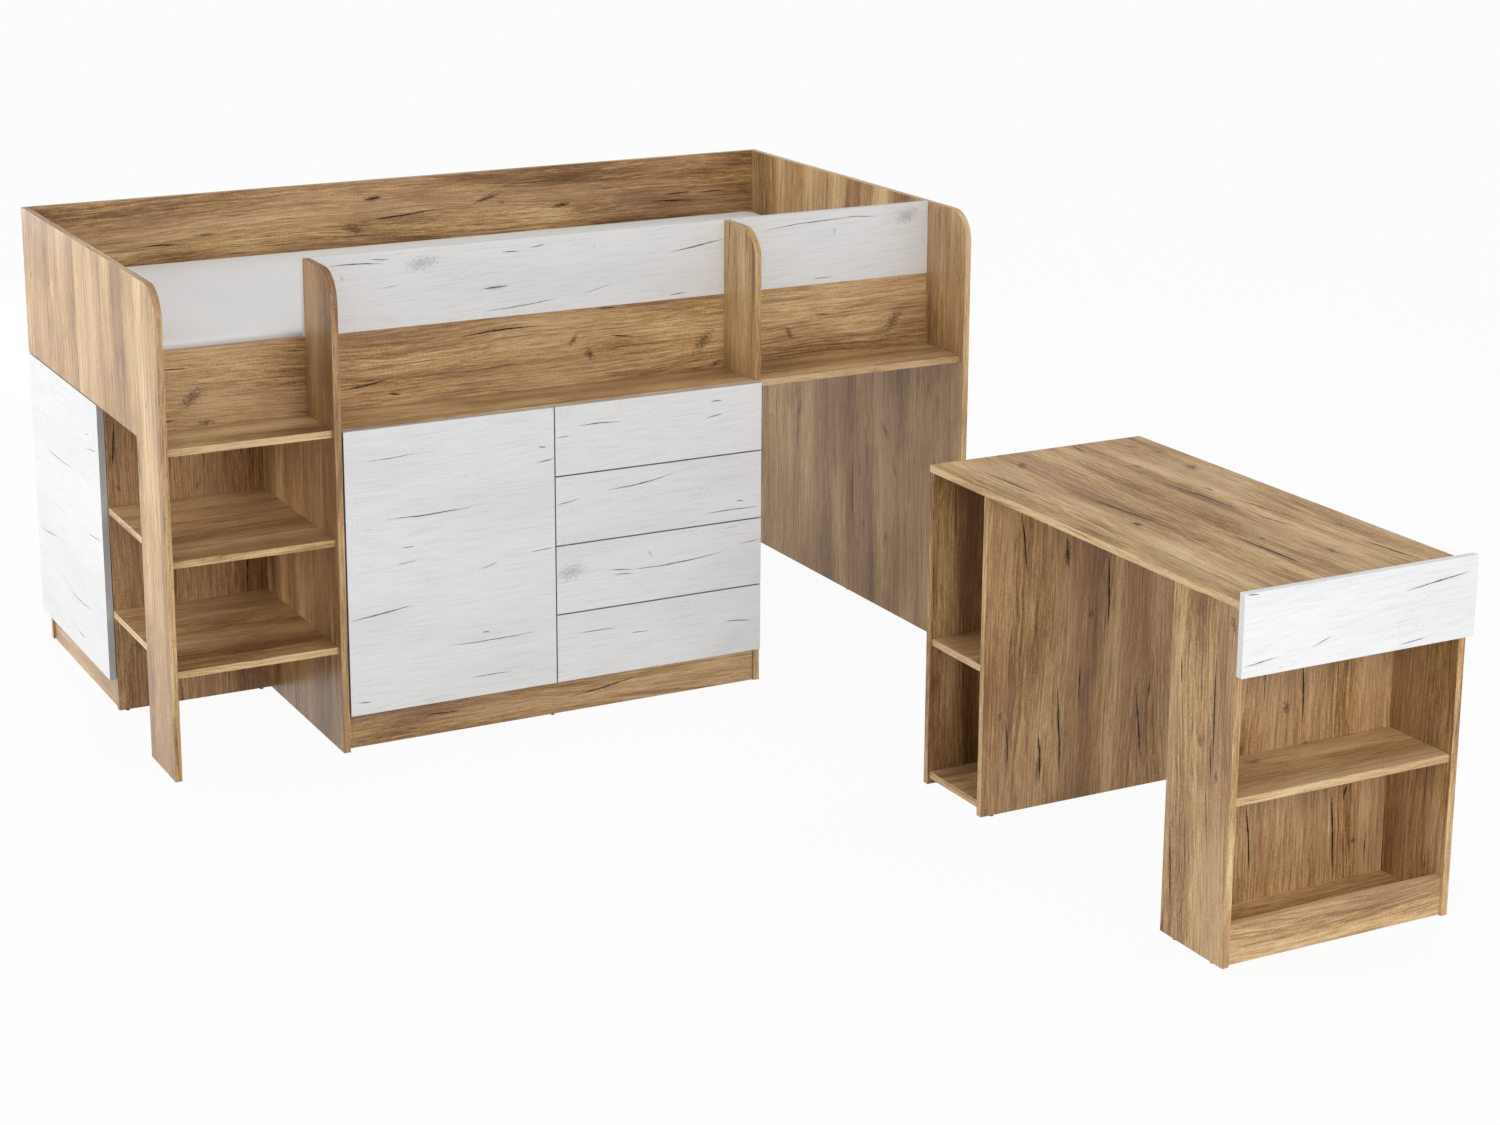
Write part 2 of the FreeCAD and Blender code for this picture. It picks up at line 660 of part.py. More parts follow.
def make_glides():
    """Feet under every board that stands on the floor, of the bed and of the desk."""
    half = d.board / 2
    bed_spots = [(half, y) for y in spread(zero, d.leg_width, LEG_GLIDE_SHARES)]
    bed_spots += [(inner_right + half, y) for y in spread(zero, d.bed_depth, END_PANEL_GLIDE_SHARES)]
    bed_spots += [(d.cabinet_left + half, y) for y in spread(zero, cabinet_rear, GLIDE_SHARES)]
    bed_spots += [(d.divider_left + half, y)
                  for y in spread(carcass_front, cabinet_rear, GLIDE_SHARES)]
    bed_spots += [(x, y) for x in spread(end_left, d.cabinet_left, GLIDE_SHARES)
                  for y in (d.wall_front + half, back_inside + half)]
    bed_spots += [(d.partition_centre, plinth_front + half)]
    keep(group("bed_glides", [glide(f"bed_glide_{number}", x, y)
                              for number, (x, y) in enumerate(bed_spots, start=1)]))
    desk_spots = [(x, y) for x in spread(desk_left, desk_right, GLIDE_SHARES)
                  for y in (desk_rear - half, bookcase_front + half)]
    desk_spots += [(x, y) for x in (desk_left + half, desk_right - half)
                   for y in spread(desk_front, pedestal_rear, LEG_GLIDE_SHARES)]
    keep(group("desk_glides", [glide(f"desk_glide_{number}", x, y)
                               for number, (x, y) in enumerate(desk_spots, start=1)]))


def check_and_write():
    """Stops on any failed object or bad solid, then writes one file for each sub-part."""
    doc.recompute()
    for item in doc.Objects:
        if "Invalid" in item.State or "Error" in item.State:
            raise RuntimeError(f"{item.Label} failed: {item.State}")
    for node in nodes:
        if node.Shape.isNull() or not node.Shape.isValid() or not node.Shape.Solids:
            raise RuntimeError(f"{node.Label} has no valid solid")
    os.makedirs("parts", exist_ok=True)
    for node in nodes:
        node.Shape.exportStep(f"parts/{node.Label}.step")


make_end_panels()
make_ledges_and_steps()
make_centre_cabinet()
make_end_cabinet()
make_bed_base()
make_mattress()
make_centre_door()
make_end_door()
keep(group("hinge_arms", hinge_arms))
make_drawers()
make_desk()
make_glides()
keep(group("cam_locks", cams))
check_and_write()
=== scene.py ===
# Looks of a mid sleeper with a pull-out desk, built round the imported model
import math
from collections import namedtuple

import bmesh
import bpy
import numpy as np
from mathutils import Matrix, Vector


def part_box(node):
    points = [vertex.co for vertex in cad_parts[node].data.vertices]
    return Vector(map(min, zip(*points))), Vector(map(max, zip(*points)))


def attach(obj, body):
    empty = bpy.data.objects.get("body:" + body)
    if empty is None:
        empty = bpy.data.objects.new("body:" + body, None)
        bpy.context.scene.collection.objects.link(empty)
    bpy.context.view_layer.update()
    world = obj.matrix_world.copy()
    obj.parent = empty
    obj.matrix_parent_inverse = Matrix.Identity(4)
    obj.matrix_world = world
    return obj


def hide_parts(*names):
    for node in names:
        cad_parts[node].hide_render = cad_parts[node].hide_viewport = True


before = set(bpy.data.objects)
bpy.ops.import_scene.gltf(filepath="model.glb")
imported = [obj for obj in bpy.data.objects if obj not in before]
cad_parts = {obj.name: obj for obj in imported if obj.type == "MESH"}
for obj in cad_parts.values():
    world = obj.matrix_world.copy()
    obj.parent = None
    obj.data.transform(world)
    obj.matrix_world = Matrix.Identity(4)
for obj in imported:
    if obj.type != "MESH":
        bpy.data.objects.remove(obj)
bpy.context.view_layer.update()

# Axes of the shared frame
AXES = {"X": Vector((1, 0, 0)), "Y": Vector((0, 1, 0)), "Z": Vector((0, 0, 1))}

# Which way the grain runs on each board
GOLDEN_GRAIN = {
    "Z": (
        "left_end_panel", "right_end_panel", "cabinet_left_side", "middle_divider", "cabinet_right_side",
        "cabinet_partition", "end_cabinet_front_wall", "end_cabinet_rear_wall", "bookcase_rear_panel",
        "bookcase_front_panel", "bookcase_end_panel", "pedestal_left_side", "pedestal_right_side",
        "pedestal_back",
    ),
    "X": (
        "back_panel", "front_rail", "long_ledge", "step_ledge", "upper_step", "lower_step", "cabinet_bottom",
        "cabinet_shelf", "cabinet_plinth", "bookcase_shelf", "bookcase_bottom", "pedestal_shelf",
        "pedestal_bottom", "pedestal_plinth", "end_cabinet_bottom", "end_cabinet_shelf",
    ),
    "Y": ("desk_top", "end_cabinet_plinth"),
}
WHITE_GRAIN = {
    "X": (
        "guard_rail", "centre_door", "desk_front", "drawer_1_front", "drawer_2_front", "drawer_3_front",
        "drawer_4_front",
    ),
    "Y": ("end_door",),
}

# Colours of oak, linear
OAK_PALEST = (0.80, 0.585, 0.325, 1)
OAK_LIGHT = (0.64, 0.424, 0.205, 1)
OAK_MIDDLE = (0.475, 0.284, 0.122, 1)
OAK_DARK = (0.30, 0.160, 0.064, 1)
OAK_DARKEST = (0.15, 0.072, 0.028, 1)
OAK_PINK = (0.43, 0.25, 0.15, 1)
OAK_STREAK = (0.14, 0.062, 0.026, 1)
OAK_KNOT = (0.070, 0.028, 0.012, 1)
OAK_CRACK = (0.022, 0.011, 0.006, 1)
OAK_RAMP = ((0.0, OAK_DARKEST), (0.27, OAK_DARK), (0.5, OAK_MIDDLE), (0.73, OAK_LIGHT), (1.0, OAK_PALEST))

# Colours of white boards, linear
WHITE_PAINT = (0.875, 0.882, 0.885, 1)
WHITE_GRAIN_GREY = (0.44, 0.45, 0.455, 1)
WHITE_SMUDGE = (0.22, 0.22, 0.23, 1)
WHITE_CRACK = (0.045, 0.045, 0.05, 1)
# Grey for the edges of white boards: grey banding, made darker as painted shade in the gaps between the
# fronts
WHITE_EDGE = (0.43, 0.435, 0.44, 1)

# Colours of pine, of the mattress cover and of the floor, linear
PINE_LIGHT = (0.76, 0.60, 0.38, 1)
PINE_DARK = (0.55, 0.36, 0.17, 1)
FABRIC_WHITE = (0.95, 0.947, 0.944, 1)
FABRIC_SHADE = (0.89, 0.886, 0.88, 1)
FLOOR_GREY = (0.75, 0.75, 0.75, 1)
PURE_WHITE = (1, 1, 1, 1)

# A layer of noise: repeats a metre along and across, start, detail, roughness, weight and steps of its rise
Layer = namedtuple("Layer", "along across start detail roughness weight low high", defaults=(1.0, None, None))

# Noises that every board has: cracks that waver and fray, mottled knots and a fine emboss
WAVER = Layer(11.0, 9.0, 2.2, 2.0, 0.5, 0.005)
RAGGED = Layer(55.0, 40.0, 3.4, 2.0, 0.6, 1.4)
RAGGED_START = 0.3
MOTTLE = Layer(120.0, 300.0, 4.6, 3.0, 0.75)
EMBOSS = Layer(26.0, 340.0, 1.1, 1.0, 0.5)
EMBOSS_STRENGTH = 0.3
EMBOSS_DEPTH = 0.0003

# Oak: swings of the grain in metres, layers of its tone, its pink parts, its soft streaks and its thin lines
OAK_SWINGS = (Layer(1.1, 5.0, 0.0, 1.0, 0.5, 0.06), Layer(7.0, 26.0, 1.7, 1.0, 0.5, 0.008))
OAK_TONE = {
    "bands": Layer(0.8, 13.0, 3.1, 2.0, 0.5, 0.98),
    "clouds": Layer(2.4, 6.5, 4.9, 2.0, 0.5, 0.86),
    "lines": Layer(5.0, 190.0, 7.7, 3.0, 0.62, 1.12),
    "pores": Layer(24.0, 480.0, 9.1, 2.0, 0.6, 0.88),
    "speckle": Layer(190.0, 150.0, 6.1, 1.0, 0.5, 0.28),
}
OAK_TONE_START = -1.590
# Oak edges lighter, partly as their banding is and partly as a painted highlight along the edges
OAK_EDGE_TONE = 0.10
OAK_HUE = Layer(1.3, 11.0, 11.9, 2.0, 0.5)
OAK_PINK_RISE = (0.46, 0.68)
OAK_PINK_WEIGHT = 0.3
OAK_STREAKS = Layer(1.8, 44.0, 13.3, 3.0, 0.55, 0.50, 0.60, 0.78)
OAK_THIN_LINES = Layer(2.8, 170.0, 15.9, 2.0, 0.55, 0.7, 0.68, 0.77)

# Staves of the oak: how many to a metre, and how far they change its tone and its hue
STAVES = 15.0
STAVE_TONE = 0.16
STAVE_HUE = 0.12

# White boards: climb and swings of the grain, layers of grey, and specks that come in patches
WHITE_CLIMB = -0.03
WHITE_SWINGS = (Layer(0.8, 4.0, 0.0, 1.0, 0.5, 0.035), Layer(6.0, 24.0, 1.7, 1.0, 0.5, 0.004))
WHITE_GREY = {
    "lines": Layer(9.0, 210.0, 5.1, 3.0, 0.65, 0.22, 0.42, 0.80),
    "clouds": Layer(1.4, 7.0, 2.9, 2.0, 0.5, 0.10, 0.42, 0.72),
    "threads": Layer(3.0, 110.0, 9.7, 2.0, 0.5, 0.08, 0.66, 0.82),
    "pores": Layer(60.0, 420.0, 8.3, 1.0, 0.5, 0.08),
}
WHITE_PATCHES = Layer(5.5, 26.0, 12.7, 1.0, 0.5, 0.60, 0.58, 0.74)
WHITE_SPECK_RISE = (0.58, 0.72)
# How far the edges of white boards go grey, partly as painted shade of the gaps
WHITE_EDGE_SHARE = 0.9

# Pine: swing of the grain, rings to a metre, their bend, sharpness and weight, and its fibres
PINE_SWINGS = (Layer(1.0, 6.0, 0.0, 1.0, 0.5, 0.03),)
PINE_RINGS = 95.0
PINE_BEND = Layer(0.8, 7.0, 5.3, 1.0, 0.5, 6.0)
PINE_RING_POWER = 3.0
PINE_RING_WEIGHT = 0.6
PINE_FIBRES = Layer(9.0, 320.0, 9.1, 2.0, 0.6, 0.5)

# How rough each wood is, and how much rougher its lines, knots and cracks are
OAK_ROUGHNESS = 0.26
WHITE_ROUGHNESS = 0.28
PINE_ROUGHNESS = 0.5
LINE_ROUGHNESS = 0.12
KNOT_ROUGHNESS = 0.1
CRACK_ROUGHNESS = 0.4
FIBRE_ROUGHNESS = 0.2

# How strongly a board shines, 0.5 being plain varnish, and the rounding of its edges in metres
BOARD_GLOSS = 0.32
BOARD_ARRIS = 0.001
ARRIS_SEGMENTS = 2
ARRIS_ANGLE = math.radians(50)

# Strides that give every board, edge and back its own stretch of noise
FIRST_SEED = 1.0
NEXT_SEED = 1.37
PINE_SEED = 0.4
EDGE_SEED = 4.3
BACK_SEED = 2.1
CRACK_SEED = 31.7
SEED_STRIDE = 7.31
SIDE_STRIDE = 1.9
STAVE_STRIDE = 5.9
POINT_STRIDES = (3.17, 1.73)
POINT_RANDOMNESS = 0.75

# Facing, from -1 to 1, below which a face counts as an edge or as a back
EDGE_FACING = 0.7
BACK_FACING = -0.5

# Cracks: where the line and its stain fade, in widths, and the least width in metres
CRACK_RISE = (1.25, 0.75)
STAIN_RISE = (4.0, 0.5)
LEAST_WIDTH = 0.00001

# Knots: where they fade, in radii, and how far the mottle moves that
KNOT_RISE = (1.1, 0.1)
KNOT_MOTTLE = 3.0

# Small cracks, scattered: cell, share of cells, length, width, slope and how strongly they show
SmallCracks = namedtuple("SmallCracks", "cell chance length width slope show")
OAK_SMALL_CRACKS = SmallCracks((0.40, 0.10), 0.22, 0.050, 0.0014, 0.0, 1.0)
WHITE_SMALL_CRACKS = SmallCracks((0.34, 0.09), 0.16, 0.026, 0.0008, 0.05, 0.45)
SHORTEST_CRACK = 0.3
NARROWEST_CRACK = 0.4
SLOPE_SPREAD = 0.12

# Small knots of the oak, scattered: cell, share of cells, least size and spread, stretch and strength
SMALL_KNOT_CELL = (0.42, 0.18)
SMALL_KNOT_CHANCE = 0.34
SMALL_KNOT_SIZE = 0.003
SMALL_KNOT_SPREAD = 0.008
SMALL_KNOT_STRETCH = 2.2
SMALL_KNOT_SHOW = 0.65

# Marks with a place of their own: colours, how strongly they show and share of a crack's width
Marks = namedtuple("Marks", "crack knot show_crack show_knot show_stain width")
OAK_MARKS = Marks(OAK_CRACK, OAK_KNOT, 1.0, 0.70, 0.30, 1.0)
WHITE_MARKS = Marks(WHITE_CRACK, WHITE_SMUDGE, 0.92, 0.43, 0.12, 0.85)

# Fittings by finish: colour, roughness, metallic, size of the speckle in metres and nodes
DRAWERS = (1, 2, 3, 4)
FITTINGS = {
    "hardboard": ((0.62, 0.60, 0.55), 0.65, 0.0, 0.0025, ("cabinet_back", "end_cabinet_back")),
    "drawer_board": ((0.75, 0.74, 0.71), 0.45, 0.0, 0.0015, [f"drawer_{n}_box" for n in DRAWERS]),
    "runner_steel": (
        (0.72, 0.72, 0.71), 0.40, 0.0, 0.0008,
        ["cabinet_runners"] + [f"drawer_{n}_rails" for n in DRAWERS]),
    "hinge_steel": (
        (0.60, 0.60, 0.58), 0.32, 1.0, 0.0010,
        ("hinge_arms", "centre_door_hinge_cups", "end_door_hinge_cups")),
    "cam_metal": ((0.50, 0.50, 0.50), 0.45, 1.0, 0.0008, ("cam_locks",)),
    "glide_plastic": ((0.03, 0.03, 0.03), 0.50, 0.0, 0.0006, ("bed_glides", "desk_glides")),
}

# Speckle of the fittings: darkest and lightest share of the colour, fine and slow noise, roughness and bump
SPECKLE_DARKEST = 0.88
SPECKLE_LIGHTEST = 1.06
SPECKLE_FINE = 0.6
SPECKLE_SLOW = 0.4
SPECKLE_SLOWNESS = 0.03
SPECKLE_RISE = (0.25, 0.75)
SPECKLE_ROUGHNESS = 0.2
SPECKLE_BUMP = 0.25

# Mattress in metres: gap round it, corners, edges, crown and how far it runs in, draw-in, waist and mesh cell
MATTRESS_SLACK = 0.002
MATTRESS_CORNER = 0.040
MATTRESS_EDGE = 0.012
MATTRESS_CROWN = 0.003
MATTRESS_CROWN_RUN = 0.16
MATTRESS_DRAW_IN = 0.004
MATTRESS_WAIST = 0.003
MATTRESS_CELL = 0.028

# Mattress mesh: steps round an edge and into a corner, hold of the draw-in to the sides, decimals of points
MATTRESS_EDGE_STEPS = 4
MATTRESS_CORNER_STEPS = 4
MATTRESS_SIDE_POWER = 8
POINT_DECIMALS = 6

# Swelling of the mattress: held base and farthest move in metres, pressure and frames
MATTRESS_BASE = 0.006
SWELL_LIMIT = 0.003
SWELL_PRESSURE = 4.0
SWELL_FRAMES = 20
LEAST_LENGTH = 1e-9

# Mattress cover: size of its threads in metres, and slubs and soft changes to a metre
THREAD = 0.0016
SLUBS = 60.0
SOFT = 6.0

# Mattress cover: parts of weave, slubs and soft changes in its tone, height and roughness, bump and sheen
WEAVE_TONE = 0.12
SLUB_TONE = 0.5
SOFT_TONE = 0.5
SLUB_HEIGHT = 2.0
SOFT_HEIGHT = 6.0
SLUB_ROUGHNESS = 0.2
FABRIC_RISE = (0.2, 0.8)
FABRIC_ROUGHNESS = 0.75
FABRIC_BUMP = 0.35
FABRIC_SHEEN = 0.35

# Camera: picture width and focal length in pixels, sensor in millimetres, shift, place and angles
PICTURE_WIDTH = 1500
FOCAL_LENGTH = 2852
SENSOR_WIDTH = 36.0
CAMERA_SHIFT = (0.0398, -0.11)
CAMERA_PLACE = (-2.674, -5.399, 2.317)
CAMERA_DOWN = math.radians(13.78)
CAMERA_RIGHT = math.radians(26.95)

# Floor: half its width in metres, and how white it is to the camera
FLOOR_HALF = 30.0
FLOOR_WHITENESS = 0.95

# Sky: light at the horizon and what the top adds, heights between which it rises, and a dim mirrored ceiling
SKY_LOW = 0.30
SKY_TOP = 0.44
SKY_RISE = (0.06, 0.34)
CEILING_RISE = (0.04, 0.26)
CEILING_DIMNESS = 0.85

# Lamps: place, point that it faces and size in metres, and power in watts
LAMPS = {
    "key_lamp": ((-3.6, 0.9, 1.4), (-0.5, 0.7, 0.6), 2.0, 38.0),
    "front_lamp": ((0.0, -5.0, 2.2), (0.3, 0.0, 0.65), 2.0, 74.0),
    "side_lamp": ((4.6, 0.2, 1.5), (1.0, 0.2, 0.6), 2.0, 30.0),
    "back_lamp": ((-1.2, 5.4, 1.4), (0.4, 1.2, 0.5), 2.0, 44.0),
}

# Painted light and shade by board: oak boards lighter or darker than the rest as each stands more lit or more
# shaded, and white boards with edges less grey than the rest, whose grey edges are partly painted shade
PAINTED_LIGHT_BY_BOARD = {
    "pedestal_plinth": 0.16, "pedestal_shelf": 0.23, "right_end_panel": 0.03, "cabinet_left_side": -0.14,
    "bookcase_rear_panel": -0.27, "end_cabinet_front_wall": -0.11, "back_panel": -0.03, "desk_top": 0.08,
    "bookcase_front_panel": 0.04, "cabinet_plinth": -0.05, "front_rail": -0.02,
    "desk_front": -0.85, "guard_rail": -0.80,
}

# Cracks by board: start and end along and across the grain, half width and sag, in millimetres
CRACKS = {
    "centre_door": (
        (-510, 538, -295, 542, 1.4, -3), (-604, 311, -445, 329, 1.5, 1), (-370, 221, -140, 223, 1.0, -4),
        (-140, 624, -97, 629, 1.2, 0), (-136, 661, -116, 659, 1.5, 0), (-160, 413, -97, 419, 1.0, 0),
        (-285, 390, -240, 403, 0.8, 0), (-485, 429, -437, 435, 1.0, 0), (-312, 133, -210, 134, 0.9, 2),
        (-590, 119, -552, 115, 1.1, 0), (-560, 676, -428, 681, 0.8, 0), (-475, 468, -440, 469, 0.9, 0),
        (-282, 239, -264, 238, 1.3, 0),
    ),
    "drawer_1_front": (
        (-40, 698, 76, 696, 1.1, 2), (304, 718, 336, 717, 1.0, 0), (288, 679, 340, 685, 1.0, 0),
        (-94, 678, -58, 677, 0.7, 0),
    ),
    "drawer_2_front": (
        (30, 537, 216, 557, 1.3, -4), (-94, 518, -30, 527, 1.1, -1), (284, 448, 441, 446, 1.0, 1),
        (375, 468, 394, 467, 1.1, 0),
    ),
    "drawer_3_front": (
        (85, 338, 356, 349, 1.3, -6), (38, 343, 104, 337, 1.0, 0), (48, 331, 102, 328, 0.9, 0),
        (380, 362, 441, 365, 0.8, 0),
    ),
    "drawer_4_front": (
        (-46, 199, 60, 200, 1.0, 1), (94, 181, 146, 180, 0.8, 0), (344, 173, 420, 163, 1.0, 1),
    ),
    "guard_rail": (
        (-568, 1086, -430, 1082, 1.3, 2), (-468, 1094, -418, 1090, 1.0, 0), (-146, 1083, -98, 1081, 1.0, 0),
        (-72, 1087, -34, 1092, 1.0, 0), (-192, 1000, -128, 1003, 1.8, 0), (284, 1044, 434, 1064, 1.5, 1),
        (-192, 946, 2, 961, 1.0, -1), (60, 965, 146, 985, 0.7, 0), (284, 940, 332, 944, 1.0, 0),
        (528, 1075, 806, 1089, 1.0, 3), (768, 1091, 852, 1086, 0.9, 0), (674, 945, 732, 946, 0.8, 0),
    ),
    "desk_front": (
        (822, 696, 982, 714, 1.4, 1), (450, 605, 536, 613, 1.0, 0), (608, 619, 656, 634, 0.8, 0),
        (814, 591, 882, 596, 1.0, 0), (454, 741, 482, 739, 1.1, 0),
    ),
    "end_door": (
        (1112, 537, 1352, 532, 1.0, -3), (875, 631, 966, 620, 0.9, 0), (875, 417, 990, 406, 0.9, 0),
        (1272, 321, 1442, 303, 1.1, 0), (984, 216, 1196, 213, 1.0, -4), (942, 657, 968, 655, 1.0, 0),
        (1058, 124, 1132, 126, 0.8, 0),
    ),
    "front_rail": (
        (-262, 892, -44, 899, 1.7, 5), (-545, 799, -414, 816, 1.5, -2), (-432, 780, -398, 774, 1.7, 0),
        (128, 858, 192, 851, 1.4, 0), (678, 857, 728, 852, 1.1, 0), (90, 928, 150, 925, 1.2, 0),
        (-690, 905, -628, 901, 0.9, 0),
    ),
    "back_panel": (
        (-725, 988, -618, 984, 1.4, 2), (-602, 1005, -522, 1006, 1.2, 0), (-144, 1005, 78, 1022, 1.7, -2),
        (-136, 1061, -86, 1065, 2.0, 0), (166, 1028, 248, 1046, 1.2, 1), (396, 1002, 452, 1007, 1.7, 0),
        (686, 991, 822, 985, 1.5, 2), (842, 1006, 908, 1008, 1.2, 0),
    ),
    "desk_top": (
        (-700, 522, -480, 519, 1.7, 2), (-960, 615, -760, 600, 1.8, 2), (-975, 580, -943, 576, 2.6, 0),
        (-1330, 702, -1110, 698, 2.0, 0), (-452, 806, -388, 808, 1.6, 0), (-972, 823, -738, 810, 1.6, 2),
        (-1412, 922, -1248, 905, 2.0, -1), (-1100, 890, -870, 860, 1.2, 2), (-1110, 846, -1020, 830, 1.4, 0),
        (-1200, 720, -990, 705, 0.9, 2),
    ),
    "bookcase_front_panel": (
        (528, 551, 672, 532, 1.8, 1), (378, 761, 552, 756, 2.0, 4), (40, 649, 284, 634, 1.8, 2),
        (58, 858, 242, 839, 1.7, 3), (198, 874, 258, 879, 1.6, 0), (104, 513, 222, 503, 1.2, 4),
        (56, 599, 172, 589, 2.0, 2), (528, 656, 606, 648, 1.8, 0),
    ),
    "right_end_panel": (
        (488, 412, 702, 416, 1.0, 0), (328, 590, 402, 592, 0.9, 0), (308, 849, 402, 844, 1.0, 0),
        (138, 869, 424, 886, 1.4, 3), (100, 526, 330, 533, 0.8, 0), (560, 470, 640, 474, 0.9, 0),
    ),
    "pedestal_left_side": (
        (384, -1399, 612, -1395, 1.8, 3), (58, -1288, 244, -1275, 1.8, 1), (518, -1293, 572, -1289, 1.6, 0),
        (228, -1389, 352, -1378, 1.0, 0),
    ),
    "pedestal_back": (
        (378, 758, 520, 750, 1.8, 1), (86, 646, 238, 632, 2.0, 1), (32, 854, 240, 837, 2.0, 2),
        (202, 871, 236, 877, 2.2, 0),
    ),
    "end_cabinet_front_wall": ((590, -985, 700, -978, 2.0, 0), (560, -770, 720, -766, 1.5, 1)),
    "cabinet_plinth": ((-60, 40, 120, 62, 1.4, -2), (-420, 55, -330, 50, 1.2, 0)),
}

# Knots and smudges by board: place along and across the grain, half length and width in millimetres, and lean
KNOTS = {
    "front_rail": (
        (-890, 820, 42, 16, 0.7), (78, 820, 24, 8, -1.2), (375, 820, 42, 17, 0.8), (612, 816, 24, 8, -1.1),
        (905, 820, 42, 17, 0.8), (34, 858, 20, 8, 0.9), (-860, 762, 26, 8, 0.1), (410, 762, 22, 8, 0.4),
    ),
    "back_panel": (
        (-110, 1063, 30, 9, 0.1), (210, 1040, 40, 9, 0.3), (425, 1005, 30, 9, 0.2), (-160, 985, 40, 14, -0.4),
    ),
    "desk_top": (
        (-480, 622, 30, 13, 0.6), (-456, 922, 16, 8, -0.7), (-655, 936, 34, 16, 0.3), (-812, 863, 18, 7, 0.1),
        (-1275, 806, 24, 8, 0.1), (-1150, 738, 10, 7, 0.0), (-520, 950, 16, 8, 0.0),
    ),
    "bookcase_front_panel": (
        (560, 652, 34, 10, 0.1), (90, 592, 40, 8, 0.1), (420, 718, 12, 9, 0.0), (225, 492, 12, 8, 0.0),
    ),
    "right_end_panel": (
        (482, 718, 26, 11, 0.8), (196, 710, 22, 8, -0.4), (640, 515, 24, 8, 0.0), (210, 822, 8, 6, 0.0),
    ),
    "left_end_panel": (
        (842, 712, 16, 8, 0.2), (854, 830, 7, 5, 0.0), (836, 450, 9, 6, 0.0), (962, 1240, 10, 8, 0.6),
    ),
    "pedestal_left_side": ((426, -1358, 14, 9, 0.0), (372, -1408, 12, 8, 0.0), (680, -1440, 20, 9, 0.3)),
    "pedestal_back": ((420, 716, 16, 12, 0.0), (112, 901, 9, 8, 0.0), (352, 612, 20, 7, 0.1)),
    "end_cabinet_front_wall": ((170, -940, 30, 14, 0.3), (400, -700, 26, 10, 0.0)),
    "drawer_3_front": ((-58, 352, 42, 22, 0.1), (146, 368, 13, 4, -1.0)),
    "guard_rail": (
        (-340, 1074, 46, 18, 0.1), (-532, 1056, 9, 4, -1.0), (-160, 1002, 34, 6, 0.05),
        (735, 1058, 10, 4, -1.2), (940, 1080, 36, 20, 0.3),
    ),
}


class Graph:
    """Adds nodes to a tree. An input takes a socket, which is linked, or a plain value, which is set."""

    def __init__(self, tree):
        self.tree = tree

    def feed(self, socket, value):
        if isinstance(value, bpy.types.NodeSocket):
            self.tree.links.new(value, socket)
        else:
            socket.default_value = value

    def add(self, kind, inputs=(), **settings):
        node = self.tree.nodes.new("ShaderNode" + kind)
        for name, value in settings.items():
            setattr(node, name, value)
        for key, value in dict(inputs).items():
            self.feed(node.inputs[key], value)
        return node

    def math(self, operation, *values):
        return self.add("Math", enumerate(values), operation=operation).outputs[0]

    def sum(self, *values):
        total = values[0]
        for value in values[1:]:
            total = self.math("ADD", total, value)
        return total

    def minus(self, a, b):
        return self.math("SUBTRACT", a, b)

    def times(self, a, b):
        return self.math("MULTIPLY", a, b)

    def below(self, value, limit):
        return self.math("LESS_THAN", value, limit)

    def combine(self, x, y, z=0.0):
        return self.add("CombineXYZ", enumerate((x, y, z))).outputs[0]

    def split(self, vector):
        return self.add("SeparateXYZ", {0: vector}).outputs

    def scaled(self, vector, scale):
        return self.add("VectorMath", {0: vector, "Scale": scale}, operation="SCALE").outputs["Vector"]

    def dot(self, a, b):
        return self.add("VectorMath", enumerate((a, b)), operation="DOT_PRODUCT").outputs["Value"]

    def noise(self, place, detail=2.0, roughness=0.5, dimensions="2D"):
        inputs = {"Vector": place, "Scale": 1.0, "Detail": detail, "Roughness": roughness}
        return self.add("TexNoise", inputs, noise_dimensions=dimensions).outputs[0]

    def rise(self, value, low, high):
        """0 below low, 1 above high and smooth between; the other way round where low is the larger."""
        return self.add("MapRange", enumerate((value, low, high)), interpolation_type="SMOOTHSTEP").outputs[0]

    def blend(self, factor, a, b):
        return self.add("Mix", {0: factor, 6: a, 7: b}, data_type="RGBA").outputs[2]

    def ramp(self, factor, stops):
        node = self.add("ValToRGB", {"Fac": factor})
        elements = node.color_ramp.elements
        while len(elements) < len(stops):
            elements.new(1.0)
        for element, (place, colour) in zip(elements, stops):
            element.position = place
            element.color = colour
        return node.outputs["Color"]

    def bump(self, height, strength, distance):
        inputs = {"Height": height, "Strength": strength, "Distance": distance}
        return self.add("Bump", inputs).outputs["Normal"]

    def group(self, tree, **inputs):
        return self.add("Group", {k.replace("_", " "): v for k, v in inputs.items()}, node_tree=tree).outputs


def new_group(name, inputs, outputs):
    """An empty node group, its graph, its input sockets and its output sockets."""
    tree = bpy.data.node_groups.new(name, "ShaderNodeTree")
    for sockets, side in ((inputs, "INPUT"), (outputs, "OUTPUT")):
        for socket, kind in sockets.items():
            tree.interface.new_socket(socket, in_out=side, socket_type="NodeSocket" + kind)
    source = tree.nodes.new("NodeGroupInput").outputs
    sink = tree.nodes.new("NodeGroupOutput").inputs
    return tree, Graph(tree), source, sink


